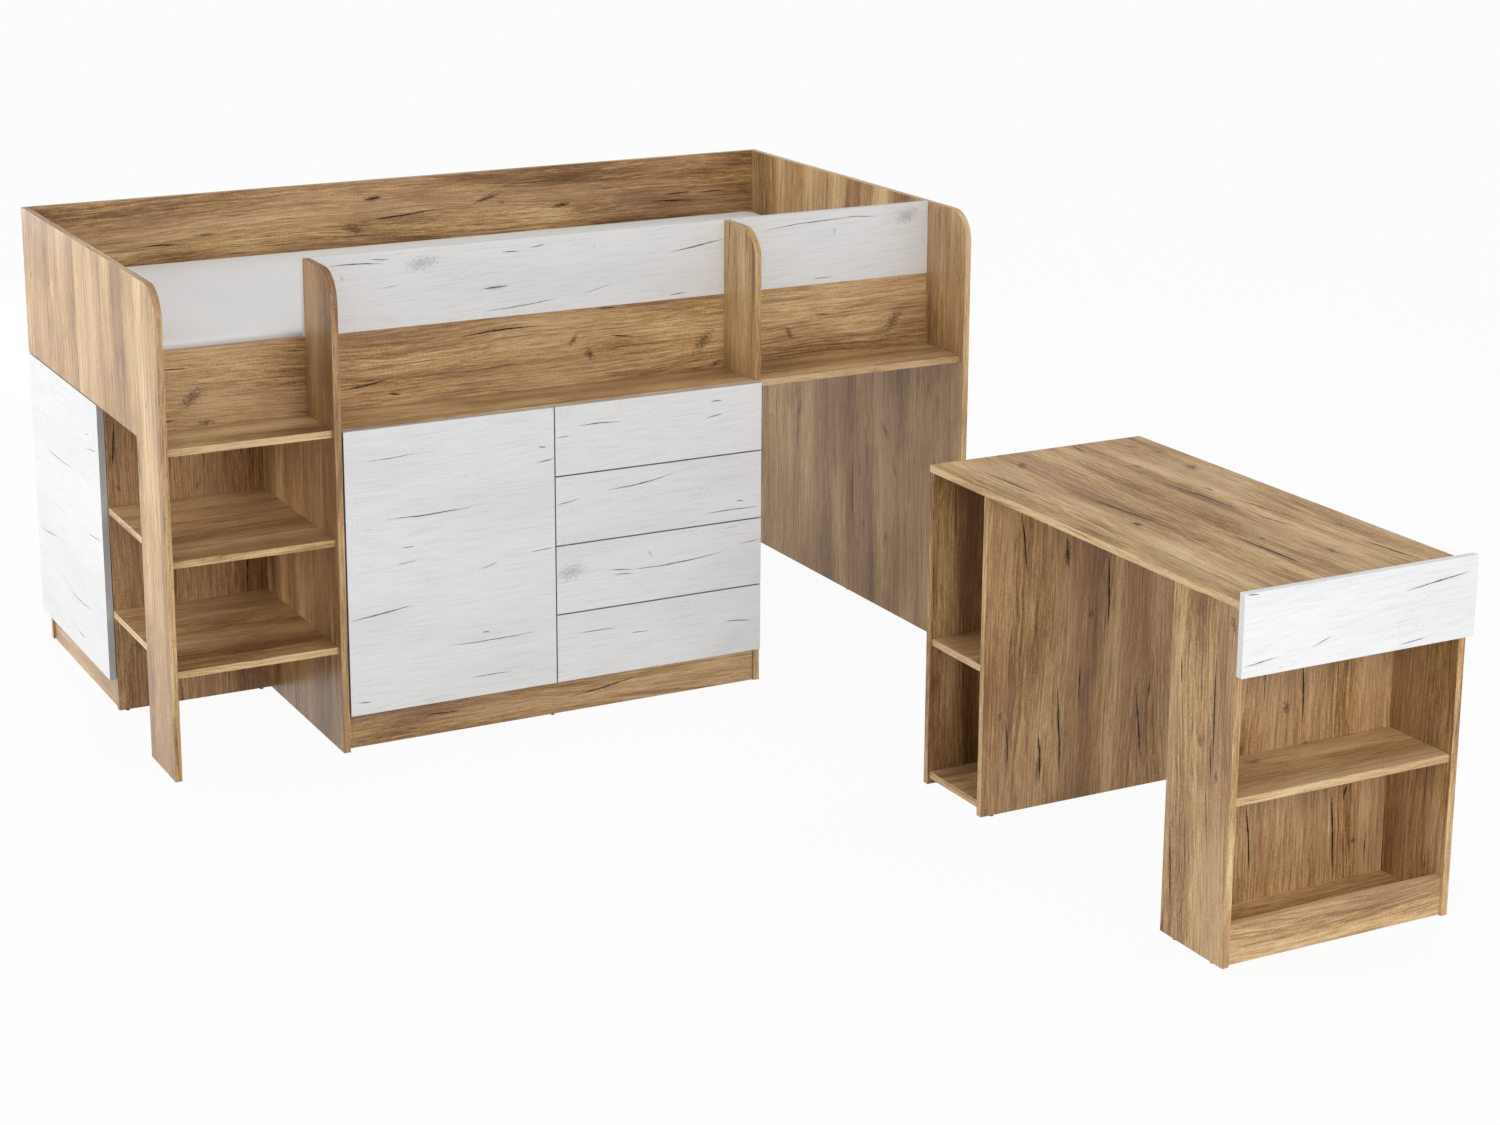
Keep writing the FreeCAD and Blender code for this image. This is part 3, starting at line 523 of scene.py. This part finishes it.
def make_board_place():
    """Where a point lies on its board: metres along and across the grain, with edges and backs told apart."""
    tree, g, source, sink = new_group(
        "board_place",
        {"Grain": "Vector", "Cross": "Vector", "Thickness": "Vector", "Seed": "Float"},
        {"Along": "Float", "Across": "Float", "Edge": "Float", "Seed": "Float"})
    where = g.add("TexCoord").outputs
    point = where["Object"]
    along = g.dot(point, source["Grain"])
    across = g.dot(point, source["Cross"])
    depth = g.dot(point, source["Thickness"])
    facing = g.dot(where["Normal"], source["Thickness"])
    edge = g.below(g.math("ABSOLUTE", facing), EDGE_FACING)
    back = g.below(facing, BACK_FACING)
    g.feed(sink["Along"], g.sum(along, g.times(edge, across)))
    g.feed(sink["Across"], g.sum(across, g.times(edge, g.minus(depth, across))))
    g.feed(sink["Edge"], edge)
    g.feed(sink["Seed"], g.sum(source["Seed"], g.times(edge, EDGE_SEED), g.times(back, BACK_SEED)))
    return tree


def make_crack():
    """One crack along the grain: a thin ragged line that tapers to both ends, in a soft stain."""
    tree, g, source, sink = new_group(
        "crack",
        {"Along": "Float", "Across": "Float", "Ragged": "Float", "Half Length": "Float", "Slope": "Float",
         "Sag": "Float", "Width": "Float"},
        {"Mask": "Float", "Stain": "Float"})
    share = g.math("DIVIDE", source["Along"], source["Half Length"])
    bow = g.minus(1.0, g.times(share, share))
    taper = g.math("MAXIMUM", bow, 0.0)
    line = g.sum(g.times(source["Along"], source["Slope"]), g.times(bow, source["Sag"]))
    off = g.math("ABSOLUTE", g.minus(source["Across"], line))
    width = g.times(g.times(source["Width"], taper), source["Ragged"])
    widths_off = g.math("DIVIDE", off, g.sum(width, LEAST_WIDTH))
    g.feed(sink["Mask"], g.rise(widths_off, *CRACK_RISE))
    g.feed(sink["Stain"], g.times(g.rise(widths_off, *STAIN_RISE), taper))
    return tree


def make_knot():
    """One knot or smudge: a leaning oval with a mottled rim."""
    tree, g, source, sink = new_group(
        "knot",
        {"Along": "Float", "Across": "Float", "Mottle": "Float", "Half Length": "Float",
         "Half Width": "Float", "Lean": "Float"},
        {"Mask": "Float"})
    a, b = source["Along"], source["Across"]
    cosine = g.math("COSINE", source["Lean"])
    sine = g.math("SINE", source["Lean"])
    long_way = g.math("DIVIDE", g.sum(g.times(a, cosine), g.times(b, sine)), source["Half Length"])
    short_way = g.math("DIVIDE", g.minus(g.times(b, cosine), g.times(a, sine)), source["Half Width"])
    reach = g.math("SQRT", g.sum(g.times(long_way, long_way), g.times(short_way, short_way)))
    mottle = g.times(g.minus(source["Mottle"], 0.5), KNOT_MOTTLE)
    g.feed(sink["Mask"], g.rise(g.sum(reach, mottle), *KNOT_RISE))
    return tree


BOARD_PLACE = make_board_place()
CRACK = make_crack()
KNOT = make_knot()
FIGURE_INPUTS = {"Along": "Float", "Across": "Float", "Edge": "Float", "Seed": "Float", "Tone": "Float"}
FIGURE_OUTPUTS = {
    "Color": "Color", "Roughness": "Float", "Height": "Float", "Waver": "Float", "Ragged": "Float",
    "Mottle": "Float",
}


class Figure:
    """The start that every board figure shares: its group, its inputs and the noises that it is made of."""

    def __init__(self, name):
        self.tree, self.g, source, self.sink = new_group(name, FIGURE_INPUTS, FIGURE_OUTPUTS)
        self.along, self.across, self.edge, self.seed, self.tone = (source[k] for k in FIGURE_INPUTS)
        self.plain = self.g.minus(1.0, self.edge)
        self.flow = self.across
        self.waver = self.swing(WAVER)
        self.ragged = self.g.sum(self.weighed(RAGGED, self.noise(RAGGED)), RAGGED_START)
        self.mottle = self.noise(MOTTLE)
        self.emboss = self.noise(EMBOSS)

    def noise(self, layer):
        """The plain noise of a layer, laid along the flow of the grain."""
        g = self.g
        start = g.sum(g.times(self.seed, SEED_STRIDE), layer.start)
        place = g.combine(
            g.sum(g.times(self.along, layer.along), start),
            g.sum(g.times(self.flow, layer.across), g.times(start, SIDE_STRIDE)))
        return g.noise(place, layer.detail, layer.roughness)

    def weighed(self, layer, noise):
        """A layer's noise, raised between its steps where it has them, times its weight."""
        if layer.low is not None:
            noise = self.g.rise(noise, layer.low, layer.high)
        return self.g.times(noise, layer.weight)

    def swing(self, layer):
        """A layer's noise about zero, from about minus half of its weight to plus half of it."""
        return self.g.times(self.g.minus(self.noise(layer), 0.5), layer.weight)

    def wander(self, swings, *climbs):
        """Bends the flow of the grain by swings to either side, and by any steady climb."""
        self.flow = self.g.sum(self.across, *climbs, *[self.swing(layer) for layer in swings])

    def scattered(self, seed_shift, cell_along, cell_across):
        """Metres from the nearest of scattered points, along and across, and that point's random numbers."""
        g = self.g
        seed = g.sum(self.seed, seed_shift)
        place = g.combine(
            g.sum(g.times(self.along, 1 / cell_along), g.times(seed, POINT_STRIDES[0])),
            g.sum(g.times(self.across, 1 / cell_across), g.times(seed, POINT_STRIDES[1])))
        inputs = {"Vector": place, "Scale": 1.0, "Randomness": POINT_RANDOMNESS}
        cell = g.add("TexVoronoi", inputs, voronoi_dimensions="2D").outputs
        away = g.add("VectorMath", enumerate((place, cell["Position"])), operation="SUBTRACT").outputs[0]
        away = g.split(away)
        return g.times(away[0], cell_along), g.times(away[1], cell_across), g.split(cell["Color"])

    def small_cracks(self, kind):
        """Short cracks scattered at random, off the edges."""
        g = self.g
        along, across, random = self.scattered(CRACK_SEED, *kind.cell)
        crack = g.group(
            CRACK, Along=along, Across=g.sum(across, self.waver), Ragged=self.ragged, Sag=0.0,
            Half_Length=g.sum(g.times(random[1], kind.length), kind.length * SHORTEST_CRACK),
            Slope=g.sum(kind.slope, g.times(g.minus(random[2], 0.5), SLOPE_SPREAD)),
            Width=g.sum(g.times(random[2], kind.width), kind.width * NARROWEST_CRACK))["Mask"]
        return g.times(crack, g.times(g.below(random[0], kind.chance), self.plain))

    def small_knots(self):
        """Small knots scattered at random, off the edges."""
        g = self.g
        along, across, random = self.scattered(0.0, *SMALL_KNOT_CELL)
        size = g.sum(g.times(random[1], SMALL_KNOT_SPREAD), SMALL_KNOT_SIZE)
        knot = g.group(
            KNOT, Along=along, Across=across, Mottle=self.mottle, Half_Width=size,
            Half_Length=g.times(size, SMALL_KNOT_STRETCH), Lean=g.minus(random[2], 0.5))["Mask"]
        return g.times(knot, g.times(g.below(random[0], SMALL_KNOT_CHANCE), self.plain))

    def staves(self):
        """Random numbers for the stave that a point lies on."""
        g = self.g
        place = g.sum(g.times(self.flow, STAVES), g.times(self.seed, STAVE_STRIDE))
        stave = g.add("TexVoronoi", {"W": place, "Scale": 1.0}, voronoi_dimensions="1D").outputs
        return g.split(stave["Color"])

    def finish(self, colour, roughness):
        outputs = {
            "Color": colour, "Roughness": roughness, "Height": self.emboss, "Waver": self.waver,
            "Ragged": self.ragged, "Mottle": self.mottle,
        }
        for name, value in outputs.items():
            self.g.feed(self.sink[name], value)
        return self.tree


def make_oak_figure():
    """Rustic oak: staves, bands and clouds of colour, wavering lines and pores, small knots and cracks."""
    f = Figure("oak_figure")
    g = f.g
    f.wander(OAK_SWINGS)
    knot = f.small_knots()
    crack = f.small_cracks(OAK_SMALL_CRACKS)
    stave = f.staves()
    noises = {name: f.noise(layer) for name, layer in OAK_TONE.items()}
    # Edges are lighter in tone, partly for their banding and partly as a painted highlight; each board's
    # painted light and shade comes in as its tone
    tone = g.sum(
        *[f.weighed(layer, noises[name]) for name, layer in OAK_TONE.items()],
        g.times(stave[0], STAVE_TONE), g.times(f.edge, OAK_EDGE_TONE), f.tone, OAK_TONE_START)
    hue = g.sum(f.noise(OAK_HUE), g.times(stave[1], STAVE_HUE))
    pink = g.times(g.rise(hue, *OAK_PINK_RISE), OAK_PINK_WEIGHT)
    streaks = f.weighed(OAK_STREAKS, f.noise(OAK_STREAKS))
    thin_lines = f.weighed(OAK_THIN_LINES, f.noise(OAK_THIN_LINES))
    colour = g.ramp(tone, OAK_RAMP)
    colour = g.blend(pink, colour, OAK_PINK)
    colour = g.blend(g.math("MAXIMUM", streaks, thin_lines), colour, OAK_STREAK)
    colour = g.blend(g.times(knot, SMALL_KNOT_SHOW), colour, OAK_KNOT)
    colour = g.blend(g.times(crack, OAK_SMALL_CRACKS.show), colour, OAK_CRACK)
    roughness = g.sum(
        OAK_ROUGHNESS, g.times(noises["lines"], LINE_ROUGHNESS), g.times(knot, KNOT_ROUGHNESS),
        g.times(crack, CRACK_ROUGHNESS))
    return f.finish(colour, roughness)


def make_white_figure():
    """White-painted oak: faint grey grain that climbs a little, small dark cracks, and grey edges that are
    partly grey banding and partly painted shade in the gaps between fronts.
    """
    f = Figure("white_figure")
    g = f.g
    f.wander(WHITE_SWINGS, g.times(f.along, WHITE_CLIMB))
    crack = f.small_cracks(WHITE_SMALL_CRACKS)
    noises = {name: f.noise(layer) for name, layer in WHITE_GREY.items()}
    patches = f.weighed(WHITE_PATCHES, f.noise(WHITE_PATCHES))
    specks = g.times(g.rise(f.mottle, *WHITE_SPECK_RISE), patches)
    grey = g.sum(*[f.weighed(layer, noises[name]) for name, layer in WHITE_GREY.items()], specks)
    colour = g.blend(grey, WHITE_PAINT, WHITE_GRAIN_GREY)
    colour = g.blend(g.times(crack, WHITE_SMALL_CRACKS.show), colour, WHITE_CRACK)
    # Edges go grey, partly as grey banding and partly as painted shade in the gaps between fronts
    colour = g.blend(g.times(f.edge, g.sum(f.tone, WHITE_EDGE_SHARE)), colour, WHITE_EDGE)
    roughness = g.sum(
        WHITE_ROUGHNESS, g.times(noises["lines"], LINE_ROUGHNESS), g.times(crack, CRACK_ROUGHNESS))
    return f.finish(colour, roughness)


def make_pine_figure():
    """Plain pine: pale wood with broad soft rings."""
    f = Figure("pine_figure")
    g = f.g
    f.wander(PINE_SWINGS)
    bend = f.weighed(PINE_BEND, f.noise(PINE_BEND))
    rings = g.math("FRACT", g.sum(g.times(f.flow, PINE_RINGS), bend))
    fibres = f.noise(PINE_FIBRES)
    dark_rings = g.times(g.math("POWER", rings, PINE_RING_POWER), PINE_RING_WEIGHT)
    colour = g.blend(g.sum(dark_rings, f.weighed(PINE_FIBRES, fibres)), PINE_LIGHT, PINE_DARK)
    return f.finish(colour, g.sum(PINE_ROUGHNESS, g.times(fibres, FIBRE_ROUGHNESS)))


def new_material(name):
    """A material with a Principled shader, its graph and that shader."""
    material = bpy.data.materials.new(name)
    material.use_nodes = True
    shader = material.node_tree.nodes["Principled BSDF"]
    return material, Graph(material.node_tree), shader


def feed_shader(g, shader, colour, roughness, normal):
    """Links the three inputs that change over a surface."""
    g.feed(shader.inputs["Base Color"], colour)
    g.feed(shader.inputs["Roughness"], roughness)
    g.feed(shader.inputs["Normal"], normal)


def dress(node, material):
    """Gives a CAD node one material."""
    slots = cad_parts[node].data.materials
    slots.clear()
    slots.append(material)


def named_cracks(g, where, looks, cracks, wide):
    """The named cracks of one board."""
    across = g.sum(where["Across"], looks["Waver"])
    for a0, c0, a1, c1, width, sag in cracks:
        yield g.group(
            CRACK, Along=g.minus(where["Along"], (a0 + a1) / 2000), Across=g.minus(across, (c0 + c1) / 2000),
            Ragged=looks["Ragged"], Half_Length=(a1 - a0) / 2000, Slope=(c1 - c0) / (a1 - a0), Sag=sag / 1000,
            Width=wide * width / 1000)


def named_knots(g, where, looks, knots):
    """The named knots of one board."""
    for a, c, half_length, half_width, lean in knots:
        yield g.group(
            KNOT, Along=g.minus(where["Along"], a / 1000), Across=g.minus(where["Across"], c / 1000),
            Mottle=looks["Mottle"], Half_Length=half_length / 1000, Half_Width=half_width / 1000, Lean=lean)


def strongest(g, marks, mask, plain):
    """The largest of one mask of several marks, off the edges."""
    total = 0.0
    for mark in marks:
        total = g.math("MAXIMUM", total, mark[mask])
    return g.times(total, plain)


def board_axes(node, grain):
    """The axes along the grain, across it and through the board's thickness."""
    low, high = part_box(node)
    size = dict(zip("XYZ", high - low))
    thickness = min(size, key=size.get)
    cross = next(a for a in "XYZ" if a not in (grain, thickness))
    return {"Grain": AXES[grain], "Cross": AXES[cross], "Thickness": AXES[thickness]}


def board_material(node, figure, grain, seed, marks):
    """A board's own material, with the grain laid along the board and its named cracks and knots."""
    material, g, shader = new_material(node)
    where = g.group(BOARD_PLACE, Seed=seed, **board_axes(node, grain))
    place = {k: where[k] for k in ("Along", "Across", "Edge", "Seed")}
    # Each board's tone paints light and shade onto it: an oak board lighter or darker, a white board's edges
    # less grey
    looks = g.group(figure, Tone=PAINTED_LIGHT_BY_BOARD.get(node, 0.0), **place)
    colour, roughness = looks["Color"], looks["Roughness"]
    plain = g.minus(1.0, where["Edge"])
    if node in KNOTS:
        knots = list(named_knots(g, where, looks, KNOTS[node]))
        knot = strongest(g, knots, "Mask", plain)
        colour = g.blend(g.times(knot, marks.show_knot), colour, marks.knot)
    if node in CRACKS:
        cracks = list(named_cracks(g, where, looks, CRACKS[node], marks.width))
        crack = strongest(g, cracks, "Mask", plain)
        stain = strongest(g, cracks, "Stain", plain)
        colour = g.blend(g.times(stain, marks.show_stain), colour, marks.knot)
        colour = g.blend(g.times(crack, marks.show_crack), colour, marks.crack)
        roughness = g.sum(roughness, g.times(crack, CRACK_ROUGHNESS))
    feed_shader(g, shader, colour, roughness, g.bump(looks["Height"], EMBOSS_STRENGTH, EMBOSS_DEPTH))
    shader.inputs["Specular IOR Level"].default_value = BOARD_GLOSS
    dress(node, material)


def round_arrises(node):
    """Rounds the sharp edges of a board a little, as edge banding is."""
    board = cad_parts[node]
    board.modifiers.new("joined", "WELD").merge_threshold = BOARD_ARRIS / 100
    bevel = board.modifiers.new("arris", "BEVEL")
    bevel.width = BOARD_ARRIS
    bevel.segments = ARRIS_SEGMENTS
    bevel.limit_method = "ANGLE"
    bevel.angle_limit = ARRIS_ANGLE
    bevel.harden_normals = True


def dress_boards():
    """Gives every oak and white board its edges and its material, each with its own stretch of grain."""
    looks = (
        (make_oak_figure(), GOLDEN_GRAIN, OAK_MARKS),
        (make_white_figure(), WHITE_GRAIN, WHITE_MARKS),
    )
    seed = FIRST_SEED
    for figure, table, marks in looks:
        for grain, names in table.items():
            for node in names:
                round_arrises(node)
                board_material(node, figure, grain, seed, marks)
                seed += NEXT_SEED


def speckled_material(name, colour, roughness, metallic, grain):
    """A plain finish with a fine speckle and slow changes of tone. Grain is the speckle's size in metres."""
    material, g, shader = new_material(name)
    point = g.add("TexCoord").outputs["Object"]
    fine = g.noise(g.scaled(point, 1 / grain), 2.0, 0.6, "3D")
    slow = g.noise(g.scaled(point, SPECKLE_SLOWNESS / grain), 2.0, 0.5, "3D")
    darkest = [SPECKLE_DARKEST * c for c in colour] + [1]
    lightest = [min(SPECKLE_LIGHTEST * c, 1.0) for c in colour] + [1]
    tone = g.sum(g.times(fine, SPECKLE_FINE), g.times(slow, SPECKLE_SLOW))
    speckle = g.blend(g.rise(tone, *SPECKLE_RISE), darkest, lightest)
    unevenness = g.sum(roughness - SPECKLE_ROUGHNESS / 2, g.times(tone, SPECKLE_ROUGHNESS))
    feed_shader(g, shader, speckle, unevenness, g.bump(fine, SPECKLE_BUMP, grain / 4))
    shader.inputs["Metallic"].default_value = metallic
    return material


def dress_fittings():
    """Gives the slats, backs, drawer boxes and metal and plastic pieces their materials."""
    pine = make_pine_figure()
    for seed, (node, grain) in enumerate((("bed_slats", "Y"), ("slat_battens", "X"))):
        board_material(node, pine, grain, seed + PINE_SEED, OAK_MARKS)
    for name, (colour, roughness, metallic, grain, nodes) in FITTINGS.items():
        material = speckled_material(name, colour, roughness, metallic, grain)
        for node in nodes:
            dress(node, material)


def fabric_material():
    """White woven ticking: crossing threads and a faint unevenness."""
    material, g, shader = new_material("mattress_cover")
    point = g.add("TexCoord").outputs["Object"]
    x, y, z = g.split(g.scaled(point, math.tau / THREAD))
    weave = g.times(g.math("SINE", x), g.math("SINE", g.sum(y, z)))
    slubs = g.noise(g.scaled(point, SLUBS), 3.0, 0.6, "3D")
    soft = g.noise(g.scaled(point, SOFT), 2.0, 0.5, "3D")
    tone = g.sum(g.times(weave, WEAVE_TONE), g.times(slubs, SLUB_TONE), g.times(soft, SOFT_TONE))
    colour = g.blend(g.rise(tone, *FABRIC_RISE), FABRIC_SHADE, FABRIC_WHITE)
    roughness = g.sum(FABRIC_ROUGHNESS, g.times(slubs, SLUB_ROUGHNESS))
    height = g.sum(weave, g.times(slubs, SLUB_HEIGHT), g.times(soft, SOFT_HEIGHT))
    feed_shader(g, shader, colour, roughness, g.bump(height, FABRIC_BUMP, THREAD / 4))
    shader.inputs["Sheen Weight"].default_value = FABRIC_SHEEN
    return material


def points_of(mesh):
    """A mesh's points as an array."""
    flat = np.empty(3 * len(mesh.vertices), np.float32)
    mesh.vertices.foreach_get("co", flat)
    return flat.reshape(-1, 3).astype(float)


def set_points(mesh, points):
    """Moves a mesh's points to those of an array."""
    mesh.vertices.foreach_set("co", points.astype(np.float32).ravel())
    mesh.update()


def evaluated(piece):
    """A new mesh of a piece with its modifiers."""
    return bpy.data.meshes.new_from_object(piece.evaluated_get(bpy.context.evaluated_depsgraph_get()))


def cut_across(bm, axis, places):
    """Cuts a mesh across one axis at each of several places."""
    for place in places:
        plane = {"plane_co": AXES[axis] * float(place), "plane_no": AXES[axis]}
        bmesh.ops.bisect_plane(bm, geom=bm.verts[:] + bm.edges[:] + bm.faces[:], **plane)


def cut_places(low, high, near):
    """Places to cut one side of the mattress: closely within its corners and evenly between them."""
    start, end = low + near[-1], high - near[-1]
    between = np.linspace(start, end, round((end - start) / MATTRESS_CELL) + 1)[1:-1]
    return [*(low + near), *between, *(high - near)]


def fill_in_order(mesh, bm):
    """Fills a mesh with the points and faces of another, in an order that is the same on every run."""
    bm.verts.index_update()
    points = np.round([tuple(v.co) for v in bm.verts], POINT_DECIMALS)
    order = np.lexsort(points.T)
    rank = np.argsort(order)
    rings = []
    for face in bm.faces:
        ring = [int(rank[v.index]) for v in face.verts]
        first = ring.index(min(ring))
        rings.append(ring[first:] + ring[:first])
    mesh.from_pydata(points[order].tolist(), [], sorted(rings))


def mattress_block(low, high):
    """A block with rounded upper and lower edges, meshed in even cells."""
    mesh = bpy.data.meshes.new("mattress_cover")
    bm = bmesh.new()
    bmesh.ops.create_cube(bm, size=1.0)
    bmesh.ops.scale(bm, vec=high - low, verts=bm.verts)
    bmesh.ops.translate(bm, vec=(low + high) / 2, verts=bm.verts)
    rims = [e for e in bm.edges if e.verts[0].co.z == e.verts[1].co.z]
    bmesh.ops.bevel(
        bm, geom=rims, offset=MATTRESS_EDGE, segments=MATTRESS_EDGE_STEPS, profile=0.5, affect="EDGES")
    near = np.linspace(MATTRESS_EDGE, MATTRESS_CORNER, MATTRESS_CORNER_STEPS)[1:]
    cut_across(bm, "X", cut_places(low[0], high[0], near))
    cut_across(bm, "Y", cut_places(low[1], high[1], near))
    cut_across(bm, "Z", cut_places(low[2], high[2], np.array([MATTRESS_EDGE]))[1:-1])
    fill_in_order(mesh, bm)
    bm.free()
    block = bpy.data.objects.new("mattress_cover", mesh)
    bpy.context.scene.collection.objects.link(block)
    return block


def mattress_form(points, low, high):
    """Rounds the corners, draws the sides in between them and lifts the top towards its middle."""
    middle = (low + high) / 2
    half = (high - low) / 2
    away = points - middle
    share = away / half
    in_corner = np.maximum(np.abs(away[:, :2]) - (half[:2] - MATTRESS_CORNER), 0)
    square = in_corner.max(axis=1)
    round_off = square / np.maximum(np.linalg.norm(in_corner, axis=1), LEAST_LENGTH)
    round_off = np.where(in_corner.min(axis=1) > 0, round_off, 1.0)
    out = away.copy()
    out[:, :2] -= np.sign(away[:, :2]) * in_corner * (1 - round_off)[:, None]
    for axis, other in ((0, 1), (1, 0)):
        pull = MATTRESS_DRAW_IN * (1 - share[:, other] ** 2) + MATTRESS_WAIST * (1 - share[:, 2] ** 2)
        out[:, axis] -= np.sign(share[:, axis]) * pull * np.abs(share[:, axis]) ** MATTRESS_SIDE_POWER
    inward = np.min(half[:2] - np.abs(away[:, :2]), axis=1)
    rise = 1 - (1 - np.clip(inward / MATTRESS_CROWN_RUN, 0, 1)) ** 2
    out[:, 2] += MATTRESS_CROWN * rise * (share[:, 2] + 1) / 2
    return out + middle


def swell(piece, base):
    """Blows a closed piece up a little as cloth, with its base held, and returns its points."""
    held = piece.vertex_groups.new(name="base")
    held.add([int(i) for i in np.flatnonzero(base)], 1.0, "REPLACE")
    cloth = piece.modifiers.new("cloth", "CLOTH")
    cloth.settings.vertex_group_mass = held.name
    cloth.settings.use_pressure = True
    cloth.settings.uniform_pressure_force = SWELL_PRESSURE
    cloth.settings.effector_weights.gravity = 0.0
    cloth.point_cache.frame_end = SWELL_FRAMES
    scene = bpy.context.scene
    for number in range(1, SWELL_FRAMES + 1):
        scene.frame_set(number)
    blown = evaluated(piece)
    points = points_of(blown)
    piece.modifiers.clear()
    piece.vertex_groups.clear()
    bpy.data.meshes.remove(blown)
    scene.frame_set(1)
    return points


def make_mattress():
    """The mattress: a crowned block of soft foam in a white cover."""
    low, high = (np.array(c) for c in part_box("mattress"))
    start_low = low + (MATTRESS_SLACK, MATTRESS_SLACK, 0)
    start_high = high - (MATTRESS_SLACK, MATTRESS_SLACK, MATTRESS_CROWN)
    piece = mattress_block(start_low, start_high)
    points = mattress_form(points_of(piece.data), start_low, start_high)
    set_points(piece.data, points)
    blown = swell(piece, points[:, 2] < low[2] + MATTRESS_BASE)
    moved = blown - points
    far = np.linalg.norm(moved, axis=1, keepdims=True)
    points = points + moved * np.minimum(1, SWELL_LIMIT / np.maximum(far, LEAST_LENGTH))
    set_points(piece.data, np.clip(points, low, high))
    piece.modifiers.new("smooth", "SUBSURF").render_levels = 1
    piece.data.shade_smooth()
    piece.data.materials.append(fabric_material())
    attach(piece, "bed")
    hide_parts("mattress")


def make_camera():
    """The camera at the photograph's viewing angle."""
    data = bpy.data.cameras.new("camera")
    data.sensor_width = SENSOR_WIDTH
    data.lens = FOCAL_LENGTH / PICTURE_WIDTH * SENSOR_WIDTH
    data.shift_x, data.shift_y = CAMERA_SHIFT
    camera = bpy.data.objects.new("camera", data)
    camera.location = CAMERA_PLACE
    camera.rotation_euler = (math.pi / 2 - CAMERA_DOWN, 0, -CAMERA_RIGHT)
    bpy.context.scene.collection.objects.link(camera)
    bpy.context.scene.camera = camera


def seen_directly(g):
    """1 for rays from the camera, a mirror or glass, and 0 for the rays that light the object."""
    ray = g.add("LightPath").outputs
    direct = g.math("MAXIMUM", ray["Is Camera Ray"], ray["Is Glossy Ray"])
    return g.math("MAXIMUM", direct, ray["Is Transmission Ray"])


def make_floor():
    """A wide pale floor, nearly white to the camera, that keeps a soft shadow."""
    half = FLOOR_HALF
    corners = [(-half, -half, 0), (half, -half, 0), (half, half, 0), (-half, half, 0)]
    mesh = bpy.data.meshes.new("floor")
    mesh.from_pydata(corners, [], [(0, 1, 2, 3)])
    floor = bpy.data.objects.new("floor", mesh)
    bpy.context.scene.collection.objects.link(floor)
    material = bpy.data.materials.new("floor")
    material.use_nodes = True
    g = Graph(material.node_tree)
    g.tree.nodes.clear()
    matt = g.add("BsdfDiffuse", {"Color": FLOOR_GREY}).outputs[0]
    glow = g.add("Emission", {"Color": PURE_WHITE, "Strength": 1.0}).outputs[0]
    whiteness = g.times(seen_directly(g), FLOOR_WHITENESS)
    pale = g.add("MixShader", {0: whiteness, 1: matt, 2: glow}).outputs[0]
    g.add("OutputMaterial", {"Surface": pale})
    mesh.materials.append(material)


def make_world():
    """A sky that lights softly, white to the camera, with a dim ceiling in what boards and metal mirror."""
    world = bpy.data.worlds.new("studio")
    bpy.context.scene.world = world
    world.use_nodes = True
    g = Graph(world.node_tree)
    g.tree.nodes.clear()
    height = g.split(g.add("TexCoord").outputs["Generated"])[2]
    light = g.sum(SKY_LOW, g.times(g.rise(height, *SKY_RISE), SKY_TOP))
    mirrored = g.minus(1.0, g.add("LightPath").outputs["Is Camera Ray"])
    ceiling = g.times(g.rise(height, *CEILING_RISE), mirrored)
    white = g.minus(1.0, g.times(ceiling, CEILING_DIMNESS))
    sky = g.add("Background", {"Color": PURE_WHITE, "Strength": light}).outputs[0]
    seen = g.add("Background", {"Color": PURE_WHITE, "Strength": white}).outputs[0]
    mixed = g.add("MixShader", {0: seen_directly(g), 1: sky, 2: seen}).outputs[0]
    g.add("OutputWorld", {"Surface": mixed})


def make_lamp(name, place, target, size, power):
    """A large square lamp that faces a point."""
    data = bpy.data.lights.new(name, "AREA")
    data.shape = "SQUARE"
    data.size = size
    data.energy = power
    lamp = bpy.data.objects.new(name, data)
    lamp.location = place
    lamp.rotation_mode = "QUATERNION"
    lamp.rotation_quaternion = (Vector(target) - Vector(place)).to_track_quat("-Z", "Y")
    lamp.visible_camera = False
    bpy.context.scene.collection.objects.link(lamp)


bpy.context.scene.view_settings.view_transform = "Standard"
make_camera()
make_world()
make_floor()
for lamp_name, lamp_values in LAMPS.items():
    make_lamp(lamp_name, *lamp_values)
dress_boards()
dress_fittings()
make_mattress()
